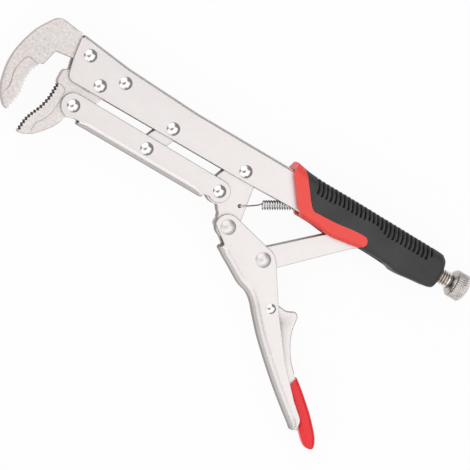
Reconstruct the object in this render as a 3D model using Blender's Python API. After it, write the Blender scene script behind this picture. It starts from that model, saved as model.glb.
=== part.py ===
# Long reach locking pliers, lying on one side: jaws towards -X, adjusting knob towards +X,
# operating lever towards -Y, all plates parallel to the XY plane.
# The pieces are laid out in a tool frame whose origin is the crank pivot and whose X axis runs
# through the three frame pivots. The whole tool is then stood with the centre of its
# underside at the world's origin.
import math

import bmesh
import bpy
from mathutils import Matrix, Vector

MM = 0.001

# Linkage: pivot to pivot lengths and the angles of the open position
PIVOT_PITCH = 52.8 * MM
LINK_LENGTH = 20.5 * MM
LINK_LEAN = math.radians(23.6)
CRANK_ARM = 36.05 * MM
CRANK_LEAN = math.radians(12.5)
LEVER_ARM = 30.3 * MM
LEVER_ARM_ANGLE = math.radians(-12.6)
LEVER_HANG = math.radians(-45.0)
SCREW_RISE = 6.0 * MM
TOGGLE_TAIL_X = 94.0 * MM
RELEASE_ALONG = 56.3 * MM
RELEASE_RISE = 13.2 * MM

# Sheet metal and the gaps between pieces
SHEET = 2.0 * MM
CHANNEL_WIDTH = 15.0 * MM
FILLER_GAP = 0.4 * MM
SEAT_GAP = 0.3 * MM
RUN_GAP = 0.3 * MM
OVERRUN = 6.0 * MM
SAME_PLACE = 0.001 * MM
FRAME_BEND = 1.6 * MM
BAR_BEND = 4.0 * MM
LEVER_BEND = 3.7 * MM

# Upper frame
FRAME_NOSE = 24.8 * MM
FRAME_NOSE_RISE = 22.5 * MM
FRAME_RISE = 16.1 * MM
FRAME_FALL = 6.3 * MM
FRAME_REAR_FALL = 2.4 * MM
FRAME_TAPER = 85.0 * MM
FRAME_TAIL = 121.5 * MM
FRAME_NOSE_SHARES = ((0.94, 1.0), (1.0, 0.87), (0.915, 0.24))
FRAME_KNEE_SHARE = 0.4
FRAME_KNEE_RISE_SHARE = 0.38
NOSE_CORNER_R = 5.0 * MM
NOSE_FACE_R = 30.0 * MM
SMALL_R = 0.8 * MM

# Jaws: shares of the reach in front of the jaw pivot and of the drop below it
JAW_REACH = 56.2 * MM
JAW_DROP = 49.6 * MM
JAW_LOBE_R = 7.6 * MM
PAD_PROUD = 1.3 * MM
TOOTH_DEPTH = 1.2 * MM
TOOTH_PITCH = 2.3 * MM
BITE_INSET = 1.6 * MM
TAIL_LENGTH = 19.6 * MM
TAIL_CLEAR = 1.2 * MM
FIXED_BACK_SHARES = (
    (0.505, 0.464), (0.621, 0.468), (0.724, 0.49), (0.776, 0.462), (0.836, 0.367), (0.904, 0.234),
    (0.957, 0.05), (0.991, -0.131), (1.0, -0.296), (0.98, -0.456), (0.94, -0.613), (0.884, -0.726),
    (0.819, -0.796), (0.765, -0.827))
FIXED_BITE_SHARES = (
    (0.753, -0.79), (0.735, -0.706), (0.719, -0.585), (0.731, -0.484), (0.745, -0.377),
    (0.735, -0.278), (0.706, -0.181), (0.686, -0.139))
FIXED_THROAT_SHARES = ((0.658, -0.123), (0.61, 0.095), (0.404, 0.129))
FIXED_PAD_SHARES = (
    (0.81, -0.12), (0.862, -0.19), (0.886, -0.357), (0.869, -0.488), (0.852, -0.563),
    (0.884, -0.7), (0.819, -0.796), (0.765, -0.827))
MOVING_HEAD_SHARES = (
    (0.132, 0.085), (0.372, -0.01), (0.427, -0.042), (0.44, -0.081), (0.438, -0.188), (0.424, -0.226))
MOVING_BITE_SHARES = (
    (0.415, -0.242), (0.415, -0.403), (0.429, -0.508), (0.454, -0.605), (0.486, -0.685),
    (0.516, -0.77), (0.532, -0.857), (0.539, -0.98))
MOVING_TIP_SHARES = ((0.516, -1.0), (0.464, -0.992), (0.427, -0.968))
MOVING_HEEL_SHARES = ((0.377, -0.935), (0.327, -0.879), (0.279, -0.815), (0.226, -0.738), (0.185, -0.655))
MOVING_PAD_SHARES = (
    (0.411, -0.944), (0.411, -0.827), (0.402, -0.782), (0.361, -0.718), (0.327, -0.639),
    (0.308, -0.552), (0.302, -0.444), (0.302, -0.343), (0.308, -0.27), (0.338, -0.24), (0.383, -0.23))

# Link bar and mid link
BAR_FRONT_EAR_R = 7.9 * MM
BAR_REAR_EAR_R = 7.0 * MM
BAR_FALL = 8.8 * MM
BAR_SPINE_SETBACK = 8.0 * MM
BAR_EAR_END = math.radians(305.0)
MID_LINK_R = 6.3 * MM

# Crank
CRANK_HEAD_R = 9.4 * MM
CRANK_MIDDLE_R = 8.2 * MM
CRANK_FOOT_R = 8.6 * MM
CRANK_EDGE_TURN = math.radians(-14.0)
CRANK_MIDDLE_END = math.radians(292.0)
CRANK_FOOT_START = math.radians(170.0)
CRANK_NECK_SHARES = ((0.471, 0.155), (0.579, 0.156), (0.651, 0.196))
HOOK_HOLE_R = 1.3 * MM
HOOK_HOLE_BACK = 8.9 * MM
HOOK_HOLE_DROP = 20.3 * MM

# Operating lever: shares of its length along the lever and of its depth across it
LEVER_LENGTH = 134.8 * MM
LEVER_DEPTH = 24.6 * MM
LEVER_EAR_R = 8.0 * MM
LEVER_EAR_SIDE = math.radians(205.0)
LEVER_EAR_TOP = math.radians(122.0)
LEVER_NOTCH_SHARES = (0.07, -0.2)
LEVER_SPINE_SHARES = (
    (0.083, -0.341), (0.131, -0.289), (0.178, -0.215), (0.264, -0.093), (0.315, 0.037), (0.364, 0.065),
    (0.415, 0.041), (0.51, 0.008), (0.594, 0.018), (0.752, 0.065), (0.875, 0.15), (0.992, 0.28))
LEVER_OPEN_SHARES = (
    (1.0, 0.366, 0.09), (0.958, 0.567, 0.24), (0.86, 0.528, 0.9), (0.67, 0.553, 2.4), (0.455, 0.707, 2.0),
    (0.185, 1.0, 0.4))

# Toggle link
TOGGLE_HEAD_R = 7.2 * MM
TOGGLE_TAIL_R = 5.0 * MM
TOGGLE_SHOULDER_SHARE = 0.74
TOGGLE_TOP = 8.9 * MM
TOGGLE_BELLY = 3.6 * MM
TOGGLE_SHOULDER_R = 9.0 * MM

# Release lever and its dipped sleeve, in the lever's frame
RELEASE_PLATE = 6.0 * MM
RELEASE_REACH = 14.1 * MM
RELEASE_PROUD = 4.5 * MM
RELEASE_BOSS_R = 5.2 * MM
RELEASE_TOP_SHARES = (
    (-0.042, 0.12), (0.01, 0.434), (0.042, 0.57), (0.063, 0.78), (0.077, 0.975), (0.114, 1.0),
    (0.133, 0.918), (0.158, 0.805), (0.191, 0.673), (0.26, 0.49), (0.373, 0.32), (0.467, 0.296))
SLEEVE_WIDTH = 9.8 * MM
SLEEVE_WALL = 1.5 * MM
SLEEVE_TOP_SHARES = (
    (0.517, 0.352), (0.612, 0.421), (0.762, 0.509), (0.863, 0.497), (0.942, 0.415), (0.986, 0.27), (1.0, 0.12))
SLEEVE_BELLY_SHARES = ((0.976, -0.05), (0.929, -0.107), (0.856, -0.113), (0.727, -0.116), (0.517, -0.151))

# Rivets
RIVET_SHANK_R = 2.8 * MM
RIVET_HEAD_R = 4.4 * MM
RIVET_HEAD_RISE = 1.3 * MM
LEVER_RIVET_HEAD_R = 4.7 * MM
LEVER_RIVET_HEAD_RISE = 2.0 * MM
SMALL_RIVET_SHANK_R = 1.9 * MM
SMALL_RIVET_HEAD_R = 3.2 * MM
SMALL_RIVET_HEAD_RISE = 1.2 * MM
RIVET_RIM = 0.4 * MM
JAW_RIVET_FRONT = (14.6 * MM, 13.0 * MM)
JAW_RIVET_REAR = (12.8 * MM, 9.4 * MM)

# Adjusting screw, bush and knob
SCREW_R = 5.1 * MM
SCREW_CORE_R = 4.3 * MM
SCREW_PITCH = 1.75 * MM
SCREW_TIP_GAP = 2.6 * MM
SCREW_STEPS = 12
BUSH_LENGTH = 14.7 * MM
BUSH_TONGUE = 9.0 * MM
KNOB_STANDOFF = 7.2 * MM
KNOB_LENGTH = 13.1 * MM
KNOB_R = 9.2 * MM
KNOB_SHARES = ((0.0, 0.6), (0.2, 0.94), (0.25, 0.97), (0.82, 0.97), (0.92, 0.87), (0.98, 0.5))
KNURL_STEPS = 32
KNURL_ROWS = 5
KNURL_DEPTH = 0.35 * MM
SPIGOT_R = 3.2 * MM
SPIGOT_DEPTH_SHARE = 0.5
SCREW_TRAVEL = 12.0 * MM

# Tension spring
WIRE = 0.9 * MM
SPRING_R = 2.45 * MM
SPRING_PITCH = 1.58 * MM
SPRING_CURLS = 22
CURL_POINTS = 8
SPRING_LEAD = 13.6 * MM
ANCHOR_X = 62.0 * MM
ANCHOR_DROP = 3.4 * MM
ANCHOR_EAR_LENGTH = 7.0 * MM
ANCHOR_EAR_DEPTH = 6.2 * MM
HOOK_TAIL = 1.6 * MM

# Grip: shares of its end's place along the tool, then of its walls above, below and beside
GRIP_WALL = 2.8 * MM
GRIP_SIDE_WALL = 5.0 * MM
GRIP_END_WALL = 4.2 * MM
GRIP_CORNER_SHARE = 1.35
GRIP_STATION_SHARES = (
    (0.14, 1.55, 1.9, 1.0), (0.25, 1.21, 1.75, 1.0), (0.32, 1.03, 1.6, 1.0), (0.39, 0.98, 1.72, 1.0),
    (0.47, 0.94, 2.1, 1.0), (0.565, 0.88, 1.5, 1.0), (0.64, 0.8, 1.0, 1.0), (0.76, 0.72, 1.2, 1.0),
    (0.8, 0.68, 1.62, 1.0), (0.84, 0.66, 1.58, 1.0), (0.9, 0.62, 1.2, 1.0), (0.96, 0.57, 0.92, 1.0),
    (0.982, 0.1, 0.55, 0.86), (0.995, -0.75, -0.2, 0.6), (1.0, -1.4, -0.85, 0.35))
GRIP_RIM_SHARES = ((0.135, 2.2), (0.158, 0.83), (0.199, 0.53), (0.245, -0.2), (0.294, -0.89), (0.33, -1.6))
RED_EDGE_SHARES = (
    (0.2, 2.2), (0.212, 1.13), (0.255, 0.75), (0.305, 0.05), (0.335, -0.37), (0.352, -0.5), (0.38, -0.49),
    (0.47, -0.43), (0.547, -0.31), (0.6, -0.28), (0.619, -0.37), (0.627, -0.58), (0.62, -0.8), (0.6, -1.0),
    (0.58, -1.6))
GRIP_HALF_HEIGHT_SHARE = 0.66
GRIP_SLOT_END_SHARE = 0.75
GROOVE_COUNT = 28
GROOVE_WIDTH = 1.2 * MM
GROOVE_DEPTH = 0.9 * MM
GROOVE_FIRST_SHARE = 0.312
GROOVE_LAST_SHARE = 0.9
GROOVE_LOW_SHARES = (0.42, 0.6)
GROOVE_LONG_SHARE = 0.5

ROUND_STEPS = 16
HOLE_STEPS = 14

CHANNEL_HALF = CHANNEL_WIDTH / 2
INNER_HALF = CHANNEL_HALF - SHEET
FILLER_HALF = INNER_HALF - FILLER_GAP
GRIP_HALF = CHANNEL_HALF + GRIP_SIDE_WALL
HOLE_R = RIVET_SHANK_R + RUN_GAP
BUSH_END = FRAME_TAIL + SEAT_GAP + BUSH_LENGTH
GRIP_END = BUSH_END + SEAT_GAP + GRIP_END_WALL
GRIP_HEIGHT = (FRAME_RISE + FRAME_REAR_FALL) * GRIP_HALF_HEIGHT_SHARE
KNOB_FRONT = GRIP_END + KNOB_STANDOFF

STEEL = ((0.82, 0.79, 0.78, 1.0), 0.32, 1.0)
JAW_STEEL = ((0.72, 0.70, 0.68, 1.0), 0.45, 1.0)
POLISHED = ((0.86, 0.84, 0.83, 1.0), 0.15, 1.0)
RED = ((0.90, 0.06, 0.07, 1.0), 0.4, 0.0)
BLACK = ((0.06, 0.06, 0.065, 1.0), 0.6, 0.0)


def polar(radius, angle):
    return Vector((radius * math.cos(angle), radius * math.sin(angle)))


# Pivots at rest, in the tool frame
LINK_DOWN = polar(LINK_LENGTH, -math.pi / 2 - LINK_LEAN)
CRANK_PIVOT = Vector((0.0, 0.0))
MID_PIVOT = Vector((-PIVOT_PITCH, 0.0))
JAW_PIVOT = Vector((-2 * PIVOT_PITCH, 0.0))
BAR_REAR = CRANK_PIVOT + LINK_DOWN
BAR_MIDDLE = MID_PIVOT + LINK_DOWN
BAR_FRONT = JAW_PIVOT + LINK_DOWN
LEVER_PIVOT = polar(CRANK_ARM, -math.pi / 2 + CRANK_LEAN)
TOGGLE_PIVOT = LEVER_PIVOT + polar(LEVER_ARM, LEVER_ARM_ANGLE)
TOGGLE_TAIL = Vector((TOGGLE_TAIL_X, SCREW_RISE))
HOOK_HOLE = Vector((HOOK_HOLE_BACK, -HOOK_HOLE_DROP))
ANCHOR = Vector((ANCHOR_X, FRAME_RISE - SHEET - ANCHOR_DROP))
TOGGLE_LENGTH = (TOGGLE_TAIL - TOGGLE_PIVOT).length
TOGGLE_LEAN = math.atan2(*reversed(TOGGLE_TAIL - TOGGLE_PIVOT))


def in_lever(along, across):
    return LEVER_PIVOT + Matrix.Rotation(LEVER_HANG, 2) @ Vector((along, across))


RELEASE_PIVOT = in_lever(RELEASE_ALONG, RELEASE_RISE)


# Outlines

def arc(centre, radius, start, end, steps):
    turns = [start + (end - start) * step / steps for step in range(steps + 1)]
    return [Vector(centre) + polar(radius, turn) for turn in turns]


def curve_through(points, steps):
    """Points of a smooth curve through the given points."""
    points = [Vector(point) for point in points]
    padded = [2 * points[0] - points[1]] + points + [2 * points[-1] - points[-2]]
    curve = [points[0]]
    for before, start, end, after in zip(padded, padded[1:], padded[2:], padded[3:]):
        for step in range(1, steps + 1):
            t = step / steps
            curve.append(0.5 * (2 * start + (end - before) * t
                                + (2 * before - 5 * start + 4 * end - after) * t ** 2
                                + (3 * start - before - 3 * end + after) * t ** 3))
    return curve


def round_corner(before, corner, after, radius, steps):
    """Points of the fillet that a corner gets, limited by its two sides."""
    into = (before - corner).normalized()
    out = (after - corner).normalized()
    half = into.angle(out) / 2
    longest = min((before - corner).length, (after - corner).length) / 2
    reach = min(radius / math.tan(half), longest)
    radius = reach * math.tan(half)
    centre = corner + (into + out).normalized() * (radius / math.sin(half))
    start = corner + into * reach - centre
    end = corner + out * reach - centre
    first = math.atan2(start.y, start.x)
    turn = math.atan2(start.cross(end), start.dot(end))
    return arc(centre, radius, first, first + turn, steps)


def rounded(corners, steps=3):
    """A closed outline from (x, y, radius) corners."""
    outline = []
    for index, (x, y, radius) in enumerate(corners):
        before = Vector(corners[index - 1][:2])
        after = Vector(corners[(index + 1) % len(corners)][:2])
        corner = Vector((x, y))
        outline += round_corner(before, corner, after, radius, steps) if radius else [corner]
    return outline


def beside(path, distance):
    """A path moved sideways, to the left of its direction."""
    moved = []
    for index, point in enumerate(path):
        before = path[max(index - 1, 0)]
        after = path[min(index + 1, len(path) - 1)]
        along = (after - before).normalized()
        moved.append(point + Vector((-along.y, along.x)) * distance)
    return moved


def scaled(shares, x_size, y_size, origin=(0.0, 0.0)):
    return [Vector((origin[0] + x * x_size, origin[1] + y * y_size)) for x, y in shares]


def jaw_points(shares):
    """Shares of the jaw's reach and drop, from the jaw pivot towards the nose."""
    return scaled(shares, -JAW_REACH, JAW_DROP, JAW_PIVOT)


def lever_points(shares, length, height):
    return [in_lever(along * length, across * height) for along, across in shares]


def release_points(shares):
    """Shares of the release lever's length and of its height, from its own pivot."""
    length = LEVER_LENGTH + RELEASE_REACH - RELEASE_ALONG
    height = LEVER_DEPTH + RELEASE_PROUD - RELEASE_RISE
    return [in_lever(RELEASE_ALONG + x * length, RELEASE_RISE + y * height) for x, y in shares]


def toothed(path, pitch, depth):
    """A zigzag along a path: tips on the path, roots to its right."""
    lengths = [0.0]
    for start, end in zip(path, path[1:]):
        lengths.append(lengths[-1] + (end - start).length)
    count = max(2, round(lengths[-1] / pitch))
    marks = []
    for half in range(2 * count + 1):
        goal = lengths[-1] * half / (2 * count)
        index = next((i for i in range(1, len(path)) if lengths[i] >= goal), len(path) - 1)
        along = (path[index] - path[index - 1]).normalized()
        point = path[index - 1] + along * (goal - lengths[index - 1])
        inward = Vector((along.y, -along.x)) * (depth if half % 2 else 0.0)
        marks.append(point + inward)
    return marks


def ring_area(outline):
    return sum(a.cross(b) for a, b in zip(outline, outline[1:] + outline[:1])) / 2


# Solids

def slab(outline, low, high):
    """A plate between two heights, with its faces pointing out."""
    if ring_area(outline) < 0:
        outline = outline[::-1]
    mesh = bmesh.new()
    bottom = [mesh.verts.new((point.x, point.y, low)) for point in outline]
    top = [mesh.verts.new((point.x, point.y, high)) for point in outline]
    mesh.faces.new(bottom[::-1])
    mesh.faces.new(top)
    for index in range(len(outline)):
        after = (index + 1) % len(outline)
        mesh.faces.new((bottom[index], bottom[after], top[after], top[index]))
    return mesh


def plate(outline, half_width):
    return slab(outline, -half_width, half_width)


def bend_edges(mesh, path, radius, steps=3):
    """Round the edges of a plate that run along a path, as a folded sheet is."""
    near = []
    for edge in mesh.edges:
        ends = [vert.co.xy for vert in edge.verts]
        flat = abs(edge.verts[0].co.z - edge.verts[1].co.z) < SAME_PLACE
        if flat and all(min((end - point).length for point in path) < SAME_PLACE for end in ends):
            near.append(edge)
    bmesh.ops.bevel(mesh, geom=near, offset=radius, segments=steps, profile=0.5, affect='EDGES')


def lathe(profile, steps, centre, along_x=False):
    """A turned solid from (height, radius) pairs; a zero radius closes an end."""
    mesh = bmesh.new()
    rings = []
    for height, radius in profile:
        if radius == 0.0:
            rings.append([mesh.verts.new((0.0, 0.0, height))])
            continue
        spots = [polar(radius, 2 * math.pi * step / steps) for step in range(steps)]
        rings.append([mesh.verts.new((spot.x, spot.y, height)) for spot in spots])
    for low, high in zip(rings, rings[1:]):
        for step in range(steps):
            after = (step + 1) % steps
            corners = [low[step % len(low)], low[after % len(low)], high[after % len(high)],
                       high[step % len(high)]]
            mesh.faces.new(list(dict.fromkeys(corners)))
    if len(rings[0]) > 1:
        mesh.faces.new(rings[0][::-1])
    if len(rings[-1]) > 1:
        mesh.faces.new(rings[-1])
    if along_x:
        bmesh.ops.rotate(mesh, verts=mesh.verts, matrix=Matrix.Rotation(math.pi / 2, 3, 'Y'))
    bmesh.ops.translate(mesh, verts=mesh.verts, vec=Vector(centre))
    return mesh


def joined(meshes):
    """Several separate solids in one mesh."""
    whole = bmesh.new()
    for mesh in meshes:
        data = bpy.data.meshes.new("solids")
        mesh.to_mesh(data)
        whole.from_mesh(data)
        bpy.data.meshes.remove(data)
        mesh.free()
    return whole


def holes(places, radius, half_width):
    drills = []
    for place in places:
        rod = [(-half_width, radius), (half_width, radius)]
        drills.append(lathe(rod, HOLE_STEPS, (place[0], place[1], 0.0)))
    return joined(drills)


# Objects, joints and cuts

def finish(name, look):
    colour, roughness, metallic = look
    material = bpy.data.materials.new(name)
    material.use_nodes = True
    shader = material.node_tree.nodes["Principled BSDF"]
    shader.inputs["Base Color"].default_value = colour
    shader.inputs["Roughness"].default_value = roughness
    shader.inputs["Metallic"].default_value = metallic
    return material


def joint_at(name, place, parent=None):
    """An empty on a joint's axis, which carries the pieces that turn about it."""
    axis = bpy.data.objects.new(name, None)
    axis["place"] = (place[0], place[1], 0.0)
    start = Vector(parent["place"]) if parent else Vector()
    axis.location = Vector(axis["place"]) - start
    axis.parent = parent
    bpy.context.collection.objects.link(axis)
    return axis


def add_mesh(name, mesh, joint):
    bmesh.ops.translate(mesh, verts=mesh.verts, vec=-Vector(joint["place"]))
    data = bpy.data.meshes.new(name)
    mesh.to_mesh(data)
    mesh.free()
    body = bpy.data.objects.new(name, data)
    body.parent = joint
    bpy.context.collection.objects.link(body)
    return body


def piece(name, mesh, joint, look, smooth=35.0):
    body = add_mesh(name, mesh, joint)
    body.data.materials.append(finish(name, look))
    body.data.shade_smooth()
    body.data.set_sharp_from_angle(angle=math.radians(smooth))
    return body


def helper(name, mesh, joint):
    tool = add_mesh(name, mesh, joint)
    tool.hide_render = True
    tool.display_type = 'WIRE'
    return tool


def combine(body, tool, operation='DIFFERENCE'):
    step = body.modifiers.new(tool.name, 'BOOLEAN')
    step.solver = 'EXACT'
    step.operation = operation
    step.object = tool
    return body


def drill(body, places, radius, joint):
    tool = helper(body.name + "_holes", holes(places, radius, CHANNEL_WIDTH), joint)
    return combine(body, tool)


def channel(name, outline, spine, inner, bend, joint):
    """A folded U channel: the outline's plate, bent at its spine and hollowed by the inner outline."""
    shell = plate(outline, CHANNEL_HALF)
    bend_edges(shell, spine, bend)
    body = piece(name, shell, joint, STEEL)
    return combine(body, helper(name + "_hollow", plate(inner, INNER_HALF), joint))


def rivet(name, place, joint, half_width, shank_r, head_r, head_rise):
    """A domed rivet through the tool, seated on both cheeks."""
    seat = half_width + SEAT_GAP
    rim = seat + RIVET_RIM
    top = seat + head_rise
    shoulder = seat + (head_rise + RIVET_RIM) * 0.5 + head_rise * 0.3
    half = [(seat, shank_r), (seat, head_r), (rim, head_r), (shoulder, head_r * 0.7), (top, 0.0)]
    profile = [(-height, radius) for height, radius in reversed(half)] + half
    return piece(name, lathe(profile, ROUND_STEPS, (place[0], place[1], 0.0)), joint, POLISHED)


# Upper frame and what is fixed in it

def frame_top():
    """The frame's back, from the nose to the tail."""
    nose_x = JAW_PIVOT.x - FRAME_NOSE * FRAME_NOSE_SHARES[0][0]
    knee = Vector((nose_x + FRAME_TAPER * FRAME_KNEE_SHARE,
                   FRAME_RISE + (FRAME_NOSE_RISE - FRAME_RISE) * FRAME_KNEE_RISE_SHARE))
    level = Vector((nose_x + FRAME_TAPER, FRAME_RISE))
    return [Vector((nose_x, FRAME_NOSE_RISE)), knee, level, Vector((FRAME_TAIL, FRAME_RISE))]


def frame_outline():
    top = frame_top()
    nose = scaled(FRAME_NOSE_SHARES[1:], -FRAME_NOSE, FRAME_NOSE_RISE, JAW_PIVOT)
    chin = Vector((JAW_PIVOT.x - FRAME_NOSE * 0.8, -FRAME_FALL))
    radii = [SMALL_R, NOSE_FACE_R, NOSE_CORNER_R]
    front = nose + [chin]
    corners = []
    for index, point in enumerate(front):
        before = front[index - 1] if index else top[0]
        after = front[index + 1] if index + 1 < len(front) else Vector((0.0, -FRAME_FALL))
        corners += round_corner(before, point, after, radii[index], 3)
    return [top[0]] + corners + [Vector((FRAME_TAIL, -FRAME_REAR_FALL))] + top[:0:-1]


def frame_hollow():
    ceiling = beside(frame_top(), -SHEET)
    floor = -FRAME_NOSE_RISE - OVERRUN
    front = Vector((ceiling[0].x - OVERRUN * 2, ceiling[0].y + (ceiling[0].y - ceiling[1].y) * 0.3))
    rear = Vector((FRAME_TAIL + OVERRUN, ceiling[-1].y))
    return [front] + ceiling[1:-1] + [rear, Vector((rear.x, floor)), Vector((front.x, floor))]


def anchor_ear():
    """The ear pressed out of the frame's back that the spring hooks into."""
    top = FRAME_RISE - SHEET / 2
    low = FRAME_RISE - SHEET - ANCHOR_EAR_DEPTH
    left = ANCHOR_X - ANCHOR_EAR_LENGTH / 2
    right = ANCHOR_X + ANCHOR_EAR_LENGTH / 2
    corners = [(left, top, 0.0), (left, low, SHEET), (right, low, SHEET), (right, top, 0.0)]
    return plate(rounded(corners), SHEET / 2)


def make_frame(tool):
    body = channel("upper_frame", frame_outline(), frame_top(), frame_hollow(), FRAME_BEND, tool)
    combine(body, helper("anchor_ear", anchor_ear(), tool), 'UNION')
    places = [JAW_PIVOT, MID_PIVOT, CRANK_PIVOT] + jaw_rivet_places()
    drill(body, places, HOLE_R, tool)
    eye = helper("anchor_eye", holes([ANCHOR], HOOK_HOLE_R, SHEET), tool)
    return combine(body, eye)


def jaw_rivet_places():
    front = Vector((JAW_PIVOT.x - JAW_RIVET_FRONT[0], JAW_RIVET_FRONT[1]))
    rear = Vector((JAW_PIVOT.x + JAW_RIVET_REAR[0], JAW_RIVET_REAR[1]))
    return [front, rear]


def make_fixed_jaw(tool):
    ceiling = beside(frame_top(), -SHEET - SEAT_GAP)
    slope = (ceiling[0].y - ceiling[1].y) / (ceiling[1].x - ceiling[0].x)
    nose_x = JAW_PIVOT.x - FRAME_NOSE - SEAT_GAP
    tail_x = JAW_PIVOT.x + TAIL_LENGTH
    tail = [Vector((nose_x, ceiling[0].y + (ceiling[0].x - nose_x) * slope)),
            Vector((tail_x, ceiling[0].y - (tail_x - ceiling[0].x) * slope))]
    throat = jaw_points(FIXED_THROAT_SHARES)
    shelf = JAW_LOBE_R + TAIL_CLEAR
    rear_low = JAW_RIVET_REAR[1] - HOLE_R - SHEET * 1.5
    under = [Vector((JAW_PIVOT.x - JAW_LOBE_R - TAIL_CLEAR, throat[-1].y)),
             Vector((JAW_PIVOT.x - JAW_LOBE_R, shelf)), Vector((JAW_PIVOT.x + JAW_LOBE_R * 0.9, shelf)),
             Vector((JAW_PIVOT.x + JAW_LOBE_R + TAIL_CLEAR, rear_low)), Vector((tail_x, rear_low))]
    back = curve_through(jaw_points(FIXED_BACK_SHARES), 2)
    bite = curve_through(jaw_points(FIXED_BITE_SHARES), 3)
    bridge = Vector((nose_x, back[0].y))
    inset = [point + Vector((-BITE_INSET, 0.0)) for point in bite[3:]]
    body_outline = [tail[1], tail[0], bridge] + back[:-3] + inset + throat + under
    body = piece("fixed_jaw", plate(body_outline, FILLER_HALF), tool, JAW_STEEL)
    teeth = toothed(bite[::-1], TOOTH_PITCH, TOOTH_DEPTH)[::-1]
    pad = curve_through(jaw_points(FIXED_PAD_SHARES), 2) + teeth
    combine(body, helper("fixed_jaw_pad", plate(pad, FILLER_HALF + PAD_PROUD), tool), 'UNION')
    return drill(body, jaw_rivet_places(), HOLE_R, tool)


# Moving jaw

def make_moving_jaw(joint):
    side = math.atan2(LINK_DOWN.y, LINK_DOWN.x) + math.pi / 2
    head = jaw_points(MOVING_HEAD_SHARES)
    bite = curve_through(jaw_points(MOVING_BITE_SHARES), 3)
    tip = jaw_points(MOVING_TIP_SHARES)
    heel = jaw_points(MOVING_HEEL_SHARES)
    inset = [point + Vector((BITE_INSET, 0.0)) for point in bite]
    start = head[0] - JAW_PIVOT
    top = arc(JAW_PIVOT, JAW_LOBE_R, math.atan2(start.y, start.x), side, 8)
    foot = arc(BAR_FRONT, JAW_LOBE_R, side, side - math.radians(120.0), 6)
    outline = top + foot + heel[::-1] + tip[::-1] + inset[::-1] + head[::-1]
    body = piece("moving_jaw", plate(outline[:-1], FILLER_HALF), joint, JAW_STEEL)
    teeth = toothed(bite[::-1], TOOTH_PITCH, TOOTH_DEPTH)[::-1]
    pad = teeth + tip[:2] + curve_through(jaw_points(MOVING_PAD_SHARES), 2)
    combine(body, helper("moving_jaw_pad", plate(pad, FILLER_HALF + PAD_PROUD), joint), 'UNION')
    return drill(body, [JAW_PIVOT, BAR_FRONT], HOLE_R, joint)


# Linkage

def bar_spine():
    start = Vector((BAR_FRONT.x + BAR_SPINE_SETBACK, BAR_FRONT.y - BAR_FALL))
    return [start, Vector((BAR_REAR.x - BAR_SPINE_SETBACK, BAR_REAR.y - BAR_FALL))]


def make_link_bar(joint):
    spine = bar_spine()
    front = arc(BAR_FRONT, BAR_FRONT_EAR_R, math.pi / 2, BAR_EAR_END, 12)
    rear = arc(BAR_REAR, BAR_REAR_EAR_R, 3 * math.pi - BAR_EAR_END, 2.5 * math.pi, 10)
    body_outline = front + spine + rear
    ceiling = beside(spine, SHEET)
    high = BAR_FRONT.y + BAR_FRONT_EAR_R + OVERRUN
    low = spine[0].y - OVERRUN
    left = BAR_FRONT.x - BAR_FRONT_EAR_R - OVERRUN
    right = BAR_REAR.x + BAR_REAR_EAR_R + OVERRUN
    hollow = [Vector((left, high)), Vector((left, low)), Vector((spine[0].x, low)), ceiling[0],
              ceiling[1], Vector((spine[1].x, low)), Vector((right, low)), Vector((right, high))]
    body = channel("link_bar", body_outline, spine, hollow, BAR_BEND, joint)
    return drill(body, [BAR_FRONT, BAR_MIDDLE, BAR_REAR], HOLE_R, joint)


def make_mid_link(joint):
    side = math.atan2(LINK_DOWN.y, LINK_DOWN.x) + math.pi / 2
    outline = arc(MID_PIVOT, MID_LINK_R, side, side + math.pi, 8)
    outline += arc(BAR_MIDDLE, MID_LINK_R, side + math.pi, side + 2 * math.pi, 8)
    body = piece("mid_link", plate(outline, FILLER_HALF), joint, STEEL)
    return drill(body, [MID_PIVOT, BAR_MIDDLE], HOLE_R, joint)


def make_crank(joint):
    side = math.atan2(LINK_DOWN.y, LINK_DOWN.x) + math.pi / 2
    along = LEVER_PIVOT - BAR_REAR
    across = Vector((along.y, -along.x))
    outline = arc(CRANK_PIVOT, CRANK_HEAD_R, CRANK_EDGE_TURN, side + math.pi, 9)
    outline += arc(BAR_REAR, CRANK_MIDDLE_R, side + math.pi, CRANK_MIDDLE_END, 6)
    outline += [BAR_REAR + along * x + across * y for x, y in CRANK_NECK_SHARES]
    outline += arc(LEVER_PIVOT, CRANK_FOOT_R, CRANK_FOOT_START, 2 * math.pi + CRANK_EDGE_TURN, 12)
    body = piece("crank", plate(outline, FILLER_HALF), joint, STEEL)
    drill(body, [CRANK_PIVOT, BAR_REAR, LEVER_PIVOT], HOLE_R, joint)
    eye = helper("hook_hole", holes([HOOK_HOLE], HOOK_HOLE_R, CHANNEL_WIDTH), joint)
    return combine(body, eye)


def lever_spine():
    return lever_points(LEVER_SPINE_SHARES, LEVER_LENGTH, LEVER_DEPTH)


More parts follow.
